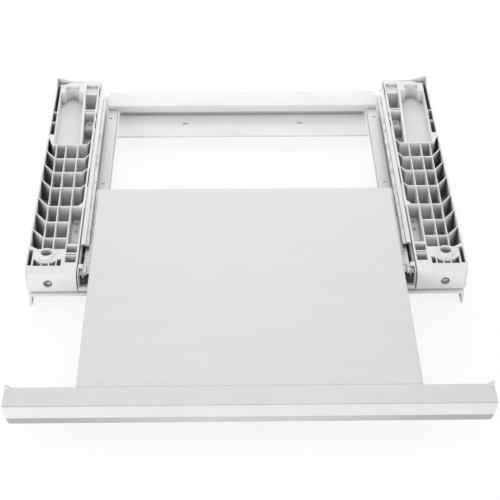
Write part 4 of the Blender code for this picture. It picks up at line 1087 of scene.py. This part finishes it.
@dataclass
class Crossbar:
    """Folded sheet crossbar behind the shelf: top flange, web, hemmed lower flange and two feet."""

    sheet: float = 0.0015
    fold: float = 0.0009
    step_fold: float = 0.0005
    edge: float = 0.00012
    web_place: float = 0.069
    collar_depth: float = 0.0025
    collar_wall: float = 0.001
    step: Point = (0.0035, 0.005)
    hem: float = 0.008
    hem_rise: float = 0.0008
    hem_round_share: float = 0.45
    foot_depth: float = 0.015
    foot_rise: float = 0.0118
    foot_reach: float = 0.0173
    slots: tuple[float, ...] = (-0.0931, 0.0931)
    slot_place: float = 0.042
    slot_size: Point = (0.0106, 0.006)

    def build(self, shop: Workshop) -> None:
        """Build the crossbar.

        Args:
            shop: The workshop.
        """
        box = Box.of("rear_crossbar")
        half = self.sheet / 2
        middle = box.high.x - self.foot_reach
        low = box.low.z + self.collar_depth
        web, top, lower = box.low.y + self.web_place + half, box.high.z - half, low + half
        back, ledge = web + self.step[0], low + self.sheet + self.step[1] + half
        foot = low + self.foot_rise + half
        path = [(box.high.y, top), (web, top), (web, ledge), (back, ledge), (back, lower),
                (box.low.y + self.hem / 2, lower)]
        solid = Solid().prism(folded(path, self.sheet, self.step_fold), Plane.SIDE, -middle, middle)
        solid.joined(self.hem_fold(box, low, middle)).joined(self.collars(box, low))
        path = [(box.high.y, top), (web, top), (web, foot), (web - half + self.foot_depth, foot)]
        section = folded(path, self.sheet, self.fold)
        ends = Solid()
        for start, end in ((-box.high.x, half - middle), (middle - half, box.high.x)):
            ends.prism(section, Plane.SIDE, start, end)
        solid.joined(ends).cut(self.slot_cuts(box))
        shop.piece("rear_crossbar_folded", solid, Slot.WHITE_PAINT, "frame", ["rear_crossbar"], self.edge)

    def hem_fold(self, box: Box, low: float, middle: float) -> Solid:
        """The lower flange's front edge, folded back on itself.

        Args:
            box: Box of the crossbar.
            low: Height of the lower flange's underside.
            middle: Half the length of the lower flange.

        Returns:
            The hem.
        """
        height = self.sheet + self.hem_rise
        corners = [(box.low.y, low), (box.low.y + self.hem, low),
                   (box.low.y + self.hem, low + height), (box.low.y, low + height)]
        turn = height * self.hem_round_share
        outline = rounded(corners, (turn, 0.0, self.hem_rise / 2, turn))
        return Solid().prism(outline, Plane.SIDE, -middle, middle)

    def slot_shapes(self, box: Box, wall: float, low: float, high: float) -> Solid:
        """Bars with round ends at the slots' places.

        Args:
            box: Box of the crossbar.
            wall: How far they reach beyond the slots.
            low: Height of their lower ends.
            high: Height of their upper ends.

        Returns:
            The bars.
        """
        solid = Solid()
        reach, width = (size / 2 + wall for size in self.slot_size)
        back = box.low.y + self.slot_place
        for out in self.slots:
            outline = rectangle((out - reach, out + reach), (back - width, back + width), width, SLOT_STEPS)
            solid.prism(outline, Plane.PLAN, low, high)
        return solid

    def collars(self, box: Box, low: float) -> Solid:
        """Rims that are drawn down around the slots."""
        return self.slot_shapes(box, self.collar_wall, box.low.z, low + self.sheet / 2)

    def slot_cuts(self, box: Box) -> Solid:
        """Tools that cut the lower flange's slots."""
        high = box.low.z + self.collar_depth + self.sheet + OVERRUN
        return self.slot_shapes(box, 0.0, box.low.z - OVERRUN, high)


@dataclass
class Slides:
    """Ball slide of one side: fixed member, moving member, cage with its balls, and the stop."""

    side: Side
    sheet: float = 0.0012
    fold: float = 0.0005
    edge: float = 0.0001
    lip: float = 0.0014
    notch: Point = (0.020, 0.0684)
    cage_sheet: float = 0.0008
    hole_room: float = 0.0003
    window: Point = (0.010, 0.0055)
    window_round_share: float = 0.45
    row: int = 3
    stop_corner: float = 0.0012
    stop_groove: Point = (0.0012, 0.0024)

    def channel(self, box: Box, opens: int, sheet: float, lip: float) -> Solid:
        """A folded channel that fills a box.

        Args:
            box: Limits of the channel.
            opens: 1 where it opens outwards, or -1 inwards.
            sheet: Thickness of the sheet.
            lip: Depth of the lips inside its flanges, or 0.

        Returns:
            The channel.
        """
        half = sheet / 2
        web, tip = (box.low.x + half, box.high.x) if opens > 0 else (box.high.x - half, box.low.x)
        top, low = box.high.z - half, box.low.z + half
        path = [(tip, top), (web, top), (web, low), (tip, low)]
        if lip:
            tip -= opens * half
            path = [(tip, top - half - lip), (tip, top), *path[1:3], (tip, low), (tip, low + half + lip)]
        return Solid().prism(folded(path, sheet, self.fold), Plane.FRONT, box.low.y, box.high.y)

    def build(self, shop: Workshop) -> None:
        """Build the whole slide.

        Args:
            shop: The workshop.
        """
        name = self.side.label
        fixed = Box.of("slide_outer_right")
        solid = self.channel(fixed, -1, self.sheet, self.lip).cut(self.notch_cut(fixed))
        self.add(shop, f"slide_outer_{name}", "races", solid, Slot.ZINC_STEEL, "frame")
        solid = self.channel(Box.of("slide_inner_right"), 1, self.sheet, 0.0)
        self.add(shop, f"slide_inner_{name}", "races", solid, Slot.ZINC_STEEL, "drawer")
        self.add(shop, f"slide_stop_{name}", "block", self.stop(), Slot.DARK_PLASTIC, "frame")
        self.add(shop, f"ball_retainer_{name}", "cage", self.cage(), Slot.POLISHED_STEEL, f"cage_{name}")
        for number in range(1, 2 * self.row + 1):
            box = Box.of(f"slide_ball_right_{number}")
            ball = Solid().ball(box.middle, (box.high.z - box.low.z) / 2)
            self.add(shop, f"slide_ball_{name}_{number}", "round", ball, Slot.POLISHED_STEEL, f"cage_{name}")

    def add(self, shop: Workshop, node: str, word: str, solid: Solid, slot: Slot, body: str) -> None:
        """Add one piece of the slide, named after its node and a last word."""
        edge = 0.0 if word == "round" else self.edge
        shop.piece(f"{node}_{word}", solid.mirrored(self.side), slot, body, [node], edge)

    def notch_cut(self, box: Box) -> Solid:
        """Tool that opens the fixed member's upper flange near its front.

        Args:
            box: Box of the fixed member.

        Returns:
            The tool.
        """
        start, end = (box.low.y + place for place in self.notch)
        outline = rectangle((box.low.x - OVERRUN, box.high.x - self.sheet), (start, end))
        low = box.high.z - self.sheet - self.lip - self.fold
        return Solid().prism(outline, Plane.PLAN, low, box.high.z + OVERRUN)

    def cage(self) -> Solid:
        """The thin cage, with a hole for every ball and windows between them.

        Returns:
            The cage.
        """
        box = Box.of("ball_retainer_right")
        solid = self.channel(box, -1, self.cage_sheet, 0.0)
        places = [Box.of(f"slide_ball_right_{number}") for number in range(1, self.row + 1)]
        holes, windows = Solid(), Solid()
        for place in places:
            middle = (place.middle.x, place.middle.y)
            radius = (place.high.z - place.low.z) / 2 + self.hole_room
            holes.prism(circle(middle, radius), Plane.PLAN, box.low.z - OVERRUN, box.high.z + OVERRUN)
        for before, after in zip(places, places[1:]):
            middle = (before.middle.y + after.middle.y) / 2
            along = (middle - self.window[0], middle + self.window[0])
            up = (box.middle.z - self.window[1] / 2, box.middle.z + self.window[1] / 2)
            outline = rectangle(along, up, self.window[1] * self.window_round_share, SLOT_STEPS)
            windows.prism(outline, Plane.SIDE, box.low.x, box.high.x + OVERRUN)
        return solid.cut(holes).cut(windows)

    def stop(self) -> Solid:
        """The dark block in the slide's front end, with a groove in its front.

        Returns:
            The block.
        """
        box = Box.of("slide_stop_right")
        outline = rectangle((box.low.x, box.high.x), (box.low.z, box.high.z), self.stop_corner)
        depth, height = self.stop_groove
        groove = rectangle((box.low.y - OVERRUN, box.low.y + depth),
                           (box.middle.z - height / 2, box.middle.z + height / 2))
        tool = Solid().prism(groove, Plane.SIDE, box.low.x - OVERRUN, box.high.x + OVERRUN)
        return Solid().prism(outline, Plane.FRONT, box.low.y, box.high.y).cut(tool)


@dataclass
class Shelf:
    """Sheet metal shelf: a flat top with its edges folded down and slit at the corners."""

    sheet: float = 0.0010
    fold: float = 0.0009
    edge: float = 0.0001
    slit: float = 0.0006
    slit_stop: float = 0.004

    def build(self, shop: Workshop) -> None:
        """Build the shelf.

        Args:
            shop: The workshop.
        """
        box = Box.of("shelf_panel")
        sheet = Vector((self.sheet, self.sheet, self.sheet))
        inner_low = box.low + Vector((sheet.x, sheet.y, -OVERRUN))
        solid = Solid().block(box.low, box.high, self.fold + self.sheet)
        solid.cut(Solid().block(inner_low, box.high - sheet, self.fold)).cut(self.slits(box))
        shop.piece("shelf_panel_folded", solid, Slot.SHELF_PAINT, "drawer", ["shelf_panel"], self.edge)

    def slits(self, box: Box) -> Solid:
        """Tools that part the flanges at the four corners.

        Args:
            box: Box of the shelf.

        Returns:
            The tools.
        """
        solid = Solid()
        reach = self.sheet + self.fold
        for way in (-1, 1):
            out = way * (box.high.x - reach)
            across = sorted((out, out - way * self.slit))
            outline = rectangle(across, (box.low.z - OVERRUN, box.high.z - self.slit_stop))
            solid.prism(outline, Plane.FRONT, box.low.y - OVERRUN, box.low.y + reach)
            solid.prism(outline, Plane.FRONT, box.high.y - reach, box.high.y + OVERRUN)
        return solid


@dataclass
class FrontBar:
    """Front bar with its two end caps: one moulded cover whose slanted lower edge is the grip."""

    wall: float = 0.0025
    web: float = 0.0020
    web_low: float = 0.035
    face_low: float = 0.042
    setback: float = 0.006
    line_place: float = 0.0009
    line_width: float = 0.0006
    line_depth: float = 0.0009
    line_step: float = 0.00015
    edge: float = 0.0002
    rib: float = 0.0012
    rib_pitch: float = 0.0655
    rib_shift_share: float = 0.125
    ribs: int = 4
    face_radii: tuple[float, ...] = (0.0010, 0.0002, 0.0, 0.0, 0.0002, 0.0005, 0.0020, 0.0006)
    inner_radii: tuple[float, ...] = (0.0004, 0.0012, 0.0010, 0.0010, 0.0003, 0.0005)
    heel_radius: float = 0.0015
    seam: float = 0.00005
    lug_depth: float = 0.004
    lug_length: float = 0.0034
    lug_corner: float = 0.0012
    spigot: float = 0.012
    spigot_low: float = 0.047
    spigot_radius: float = 0.0010
    room: float = 0.0003
    knee_drop: float = 0.004
    face_draw: float = 0.0032
    low_draw: float = 0.006
    draw_radius: float = 0.012

    def build(self, shop: Workshop) -> None:
        """Build the bar and its caps.

        Args:
            shop: The workshop.
        """
        box = Box.of("front_bar")
        solid = Solid().prism(self.section(box), Plane.SIDE, box.low.x, box.high.x)
        solid.joined(self.stiffeners(box))
        shop.piece("front_bar_moulded", solid, Slot.BAR_PLASTIC, "drawer", ["front_bar"], self.edge)
        for side in Side:
            node = f"bar_end_cap_{side.label}"
            shop.piece(f"{node}_moulded", self.cap(box).mirrored(side), Slot.BAR_PLASTIC, "drawer", [node],
                       self.edge)

    def face(self, box: Box) -> list[Point]:
        """Outer corners of the section from its back top edge to its lower edge.

        Args:
            box: Box of the bar.

        Returns:
            The corners.
        """
        front, top = box.low.y, box.high.z
        line = front + self.line_place
        return [(box.high.y, top), (line + self.line_width, top),
                (line + self.line_width, top - self.line_depth), (line, top - self.line_depth),
                (line, top - self.line_step), (front, top - self.line_step), (front, self.face_low),
                (front + self.setback, box.low.z)]

    def section(self, box: Box) -> list[Point]:
        """Section of the bar, which is open below.

        Args:
            box: Box of the bar.

        Returns:
            Points of its outline.
        """
        front, top, back = box.low.y + self.wall, box.high.z - self.web, box.high.y - self.web
        inner = [(front + self.setback, box.low.z), (front, self.face_low), (front, top), (back, top),
                 (back, self.web_low), (box.high.y, self.web_low)]
        return rounded([*self.face(box), *inner], [*self.face_radii, *self.inner_radii])

    def stiffeners(self, box: Box) -> Solid:
        """Thin ribs inside the bar.

        Args:
            box: Box of the bar.

        Returns:
            The ribs.
        """
        front, top, back = box.low.y + self.wall / 2, box.high.z - self.web / 2, box.high.y - self.web / 2
        outline = [(front, top), (front, self.face_low), (front + self.wall, self.web_low),
                   (back - self.wall, self.web_low + self.wall), (back, self.web_low + 2 * self.wall),
                   (back, top)]
        solid = Solid()
        for number in range(-self.ribs, self.ribs + 1):
            middle = number * self.rib_pitch + self.rib_pitch * self.rib_shift_share
            solid.prism(outline, Plane.SIDE, middle - self.rib / 2, middle + self.rib / 2)
        return solid

    def cap(self, box: Box) -> Solid:
        """The right-hand cap: its end plate, its lug and the spigot in the bar.

        Args:
            box: Box of the bar.

        Returns:
            The cap.
        """
        limits = Box.of("bar_end_cap_right")
        start = box.high.x + self.seam
        heel = (box.high.y, box.low.z)
        outline = rounded([*self.face(box), heel], [*self.face_radii, self.heel_radius])
        lug = [(start, box.high.z), (limits.high.x - self.lug_length, limits.high.z),
               (limits.high.x, limits.high.z), (limits.high.x, box.high.z - self.wall),
               (start, box.high.z - self.wall)]
        lug = rounded(lug, (0.0, self.lug_corner, self.lug_corner, 0.0, 0.0))
        inner = (box.low.y + self.wall + self.room, box.high.y - self.web - self.room)
        upright = (self.spigot_low, box.high.z - self.web - self.room)
        spigot = rectangle(inner, upright, self.spigot_radius)
        solid = Solid().prism(outline, Plane.SIDE, start, limits.high.x)
        solid.joined(Solid().prism(lug, Plane.FRONT, box.high.y - self.lug_depth, box.high.y))
        solid.joined(Solid().prism(spigot, Plane.SIDE, start - self.spigot, start + self.wall))
        return solid.cut(self.end_slope(box, limits))

    def end_slope(self, box: Box, limits: Box) -> Solid:
        """Tool that draws the cap's lower end inwards in a curve.

        Args:
            box: Box of the bar.
            limits: Box of the cap.

        Returns:
            The tool.
        """
        end = limits.high.x
        corners = [(end, box.high.z + OVERRUN), (end, box.high.z - self.knee_drop),
                   (end - self.face_draw, self.face_low), (end - self.low_draw, box.low.z),
                   (end - self.low_draw, box.low.z - OVERRUN), (end + OVERRUN, box.low.z - OVERRUN),
                   (end + OVERRUN, box.high.z + OVERRUN)]
        outline = rounded(corners, (0.0, self.draw_radius, self.draw_radius, 0.0, 0.0, 0.0, 0.0))
        return Solid().prism(outline, Plane.FRONT, box.low.y - OVERRUN, box.high.y + OVERRUN)


@dataclass(frozen=True)
class Fastener:
    """Radius and height of a screw's or rivet's head, and radius of its shank."""

    radius: float
    height: float
    shank: float


@dataclass
class Fasteners:
    """Screws and rivets: domed or dished heads, cross recesses and shanks.

    A head's node gives its place. The head faces along the given way.
    """

    edge: float = 0.00015
    large: Fastener = Fastener(0.0055, 0.0032, 0.0022)
    small: Fastener = Fastener(0.0036, 0.0018, 0.0016)
    low: Fastener = Fastener(0.0023, 0.0012, 0.0016)
    flat: Fastener = Fastener(0.0030, 0.0010, 0.0016)
    screw_crown: float = 0.55
    rivet_crown: float = 0.8
    dome_steps: int = 5
    dish_steps: int = 6
    dish_share: float = 0.80
    floor_share: float = 0.20
    rim_shares: Point = (0.94, 0.84)
    recess_share: float = 0.62
    arm_share: float = 0.20
    depth_share: float = 0.62
    dished_recess_share: float = 0.5

    def dish(self, size: Fastener) -> list[Point]:
        """Profile of a dished head, from the middle of its dish to its rim.

        Args:
            size: Sizes of the screw.

        Returns:
            Radius and height of its points.
        """
        reach, floor = size.radius * self.dish_share, size.height * self.floor_share
        turns = (QUARTER_TURN * step / self.dish_steps for step in range(self.dish_steps + 1))
        bowl = [(reach * math.sin(turn), size.height - (size.height - floor) * math.cos(turn))
                for turn in turns]
        rim = [(self.rim_shares[0] * size.radius, size.height),
               (size.radius, self.rim_shares[1] * size.height), (size.radius, 0)]
        return [*bowl, *rim]

    def head(self, size: Fastener, crown: float) -> list[Point]:
        """Profile of a domed head, from its crown to its rim.

        Args:
            size: Sizes of the screw or rivet.
            crown: Share of the height that is domed.

        Returns:
            Radius and height of its points.
        """
        rim = size.height * (1 - crown)
        turns = (QUARTER_TURN * step / self.dome_steps for step in range(self.dome_steps + 1))
        dome = [(size.radius * math.sin(turn), rim + (size.height - rim) * math.cos(turn))
                for turn in turns]
        return [*dome, (size.radius, 0)]

    def recess(self, place: Vector, facing: Triple, radius: float, height: float) -> Solid:
        """Cross-shaped tool that cuts a head's recess.

        Args:
            place: Where the height is counted from.
            facing: The way that the head faces.
            radius: Radius that the recess is a share of.
            height: Height of the head.

        Returns:
            The tool.
        """
        reach, arm = radius * self.recess_share, radius * self.arm_share
        corners = [(arm, reach), (-arm, reach), (-arm, arm), (-reach, arm), (-reach, -arm), (-arm, -arm),
                   (-arm, -reach), (arm, -reach), (arm, -arm), (reach, -arm), (reach, arm), (arm, arm)]
        tool = Solid().prism(corners, Plane.PLAN, height * (1 - self.depth_share), height + OVERRUN)
        turn = Vector((0, 0, 1)).rotation_difference(Vector(facing)).to_matrix().to_4x4()
        bmesh.ops.transform(tool.work, matrix=Matrix.Translation(place) @ turn, verts=tool.work.verts)
        return tool

    def seat(self, box: Box, facing: Triple, height: float) -> Vector:
        """Seat of a head, from its node's box.

        Args:
            box: Box of the node.
            facing: The way that the head faces.
            height: Height of the head.

        Returns:
            The seat's middle.
        """
        way = Vector(facing)
        reach = (box.high - box.low) / 2
        crown = box.middle + Vector(step * part for step, part in zip(way, reach))
        return crown - way * height

    def screw(self, shop: Workshop, node: str, body: str, facing: Triple, size: Fastener,
              dished: bool = False) -> None:
        """Build one screw.

        Args:
            shop: The workshop.
            node: Node that it stands for.
            body: Body that it rides on.
            facing: The way that its head faces.
            size: Its sizes.
            dished: Whether its head is a dish.
        """
        box = Box.of(node)
        length = abs((box.high - box.low).dot(Vector(facing))) - size.height
        place = self.seat(box, facing, size.height)
        top = self.dish(size) if dished else self.head(size, self.screw_crown)
        profile = [*top, (size.shank, 0), (size.shank, size.shank - length), (0, -length)]
        solid = Solid().turned(profile, place, facing)
        radius = size.radius
        if dished:
            place -= Vector(facing) * size.height * self.depth_share
            radius *= self.dished_recess_share
        solid.cut(self.recess(place, facing, radius, size.height))
        shop.piece(f"{node}_cross", solid, Slot.ZINC_STEEL, body, [node], self.edge)

    def rivet(self, shop: Workshop, node: str, body: str, facing: Triple, size: Fastener) -> None:
        """Build one rivet, whose shank ends in a rolled rim.

        Args:
            shop: The workshop.
            node: Node that it stands for.
            body: Body that it rides on.
            facing: The way that its head faces.
            size: Its sizes.
        """
        box = Box.of(node)
        length = abs((box.high - box.low).dot(Vector(facing))) - 2 * size.height
        place = self.seat(box, facing, size.height)
        head = self.head(size, self.rivet_crown)
        back = [(part, -length - rise) for part, rise in reversed(head)]
        solid = Solid().turned([*head, (size.shank, 0), (size.shank, -length), *back], place, facing)
        shop.piece(f"{node}_domed", solid, Slot.ZINC_STEEL, body, [node], 0.0)

    def build(self, shop: Workshop) -> None:
        """Build every screw and rivet.

        Args:
            shop: The workshop.
        """
        up, down, forwards, backwards = (0, 0, 1), (0, 0, -1), (0, -1, 0), (0, 1, 0)
        for side in Side:
            name, inward = side.label, (-side.value, 0, 0)
            self.screw(shop, f"front_screw_{name}", "frame", forwards, self.large, dished=True)
            for number in (1, 2, 3):
                self.screw(shop, f"tab_screw_{name}_{number}", "frame", up, self.low)
            for number in (1, 2):
                self.screw(shop, f"base_screw_{name}_{number}", "frame", down, self.small)
                self.screw(shop, f"shelf_screw_{name}_{number}", "drawer", inward, self.small)
                self.rivet(shop, f"slide_rivet_{name}_{number}", "frame", inward, self.flat)
            self.screw(shop, f"stop_rivet_{name}", "frame", up, self.flat)
            self.rivet(shop, f"crossbar_rivet_{name}", "frame", up, self.flat)
        for number in (1, 2, 3):
            self.screw(shop, f"bar_screw_{number}", "drawer", backwards, self.small)


@dataclass(frozen=True)
class Lamp:
    """A soft square lamp that faces one point."""

    name: str
    place: Triple
    size: float
    power: float
    aim: Triple = (0.0, 0.0, 0.0)

    def build(self) -> None:
        """Add the lamp to the scene."""
        data = bpy.data.lights.new(self.name, "AREA")
        data.size = self.size
        data.energy = self.power
        item = bpy.data.objects.new(self.name, data)
        item.location = self.place
        way = Vector(self.aim) - Vector(self.place)
        item.rotation_euler = way.to_track_quat("-Z", "Y").to_euler()
        bpy.context.scene.collection.objects.link(item)


@dataclass
class Studio:
    """Pale floor, white surroundings, soft lamps and the camera.

    A lamp has its name, its place, its size and its power. The angles are in degrees.
    """

    floor_reach: float = 4.0
    floor_drop: float = 0.0004
    floor_colour: Triple = (0.90, 0.90, 0.90)
    floor_patch: Triple = (0.85, 0.85, 0.85)
    floor_patch_share: float = 0.04
    floor_clouds: Clouds = Clouds(0.02, 3.0)
    shadow_share: float = 0.20
    floor_white: float = 1.06
    surround: float = 0.63
    camera_place: Triple = (-0.0287, -1.8318, 1.2924)
    camera_yaw: float = 1.101
    camera_pitch: float = 35.174
    camera_roll: float = 0.227
    focal_pixels: float = 1533.4
    frame_pixels: float = 500.0
    sensor: float = 36.0
    lamps: tuple[Lamp, ...] = field(default_factory=lambda: (
        Lamp("high_back_lamp", (0.0, 1.5, 1.7), 1.2, 5.3),
        Lamp("low_back_lamp", (0.0, 2.4, 0.7), 1.2, 14.0),
        Lamp("low_front_lamp", (0.0, -2.8, 0.35), 0.7, 6.4),
        Lamp("left_front_lamp", (-1.8, -2.0, 0.8), 1.0, 21.5),
        Lamp("right_front_lamp", (1.8, -2.0, 0.8), 1.0, 9.5),
    ))

    def surroundings(self) -> None:
        """Set the world: white where it is seen, and softer where it lights."""
        graph = Graph(bpy.data.worlds.new("surroundings"))
        rays = graph.node("ShaderNodeLightPath").outputs
        seen = graph.maths("MAXIMUM", rays["Is Camera Ray"], rays["Is Glossy Ray"])
        seen = graph.maths("MAXIMUM", seen, rays["Is Transmission Ray"])
        level = graph.node("ShaderNodeMapRange", None,
                           {"Value": seen, "To Min": self.surround, "To Max": 1.0}).outputs[0]
        back = graph.node("ShaderNodeBackground", None, {"Color": WHITE, "Strength": level})
        graph.node("ShaderNodeOutputWorld", None, {"Surface": back.outputs[0]})
        bpy.context.scene.world = graph.owner

    def floor(self) -> None:
        """Lay the floor, which is white and keeps a faint shadow."""
        graph = Graph(bpy.data.materials.new("floor_white"))
        rays = graph.node("ShaderNodeLightPath")
        seen = Value(graph, rays.outputs["Is Camera Ray"]) * (1 - self.shadow_share)
        share = self.floor_patch_share * graph.clouds(self.floor_clouds)
        colour = graph.blend(share, self.floor_colour, self.floor_patch)
        matt = graph.node("ShaderNodeBsdfDiffuse", None, {"Color": colour})
        white = graph.node("ShaderNodeEmission", None, {"Color": (self.floor_white,) * 3})
        both = graph.node("ShaderNodeMixShader", None, {0: seen, 1: matt.outputs[0], 2: white.outputs[0]})
        graph.node("ShaderNodeOutputMaterial", None, {"Surface": both.outputs[0]})
        reach, level = self.floor_reach, CAD_BOUNDS[0][2] - self.floor_drop
        corners = [(-reach, -reach, level), (reach, -reach, level), (reach, reach, level),
                   (-reach, reach, level)]
        mesh = bpy.data.meshes.new("floor")
        mesh.from_pydata(corners, [], [(0, 1, 2, 3)])
        mesh.materials.append(graph.owner)
        item = bpy.data.objects.new("floor", mesh)
        bpy.context.scene.collection.objects.link(item)

    def camera(self) -> None:
        """Set the camera at the photograph's angle."""
        data = bpy.data.cameras.new("camera")
        data.sensor_width = self.sensor
        data.lens = self.sensor * self.focal_pixels / self.frame_pixels
        item = bpy.data.objects.new("camera", data)
        bpy.context.scene.collection.objects.link(item)
        turn = (Matrix.Rotation(-math.radians(self.camera_yaw), 4, "Z")
                @ Matrix.Rotation(QUARTER_TURN - math.radians(self.camera_pitch), 4, "X")
                @ Matrix.Rotation(math.radians(self.camera_roll), 4, "Z"))
        item.matrix_world = Matrix.Translation(self.camera_place) @ turn
        bpy.context.scene.camera = item

    def build(self) -> None:
        """Build the whole studio."""
        bpy.context.scene.view_settings.view_transform = "Standard"
        self.surroundings()
        self.floor()
        for lamp in self.lamps:
            lamp.build()
        self.camera()


def make_finishes() -> dict[Slot, bpy.types.Material]:
    """Build the material of every slot.

    Returns:
        The materials by slot.
    """
    kinds = {
        Slot.WHITE_PLASTIC: MouldedPlastic(),
        # The bar gets painted shade on its slanted lower faces and its end faces.
        Slot.BAR_PLASTIC: MouldedPlastic(colour=(0.76, 0.76, 0.76), flow=(0.73, 0.73, 0.73), roughness=0.38,
                                         grain=Clouds(0.0004, 3.0), dust_share=0.15,
                                         rubbed=(0.84, 0.84, 0.835), slant_shade_share=0.68),
        Slot.DARK_PLASTIC: MouldedPlastic(colour=(0.045, 0.045, 0.048), flow=(0.06, 0.06, 0.06),
                                          dust=(0.12, 0.12, 0.12), rubbed=(0.10, 0.10, 0.10), roughness=0.5),
        Slot.WHITE_PAINT: BakedPaint(),
        Slot.SHELF_PAINT: BakedPaint(colour=(0.76, 0.76, 0.76), smear=(0.745, 0.745, 0.745), roughness=0.40),
        Slot.ZINC_STEEL: ZincSteel(),
        Slot.POLISHED_STEEL: PolishedSteel(),
    }
    return {slot: kind.material(slot.value + "_finish") for slot, kind in kinds.items()}


def main() -> None:
    logging.basicConfig(level=logging.INFO, format="%(name)s: %(message)s")
    Studio().build()
    shop = Workshop(make_finishes())
    for side in Side:
        Housing(side).build(shop)
        SideRail(side).build(shop)
        Slides(side).build(shop)
    Crossbar().build(shop)
    Shelf().build(shop)
    FrontBar().build(shop)
    Fasteners().build(shop)


if __name__ == "__main__":
    main()
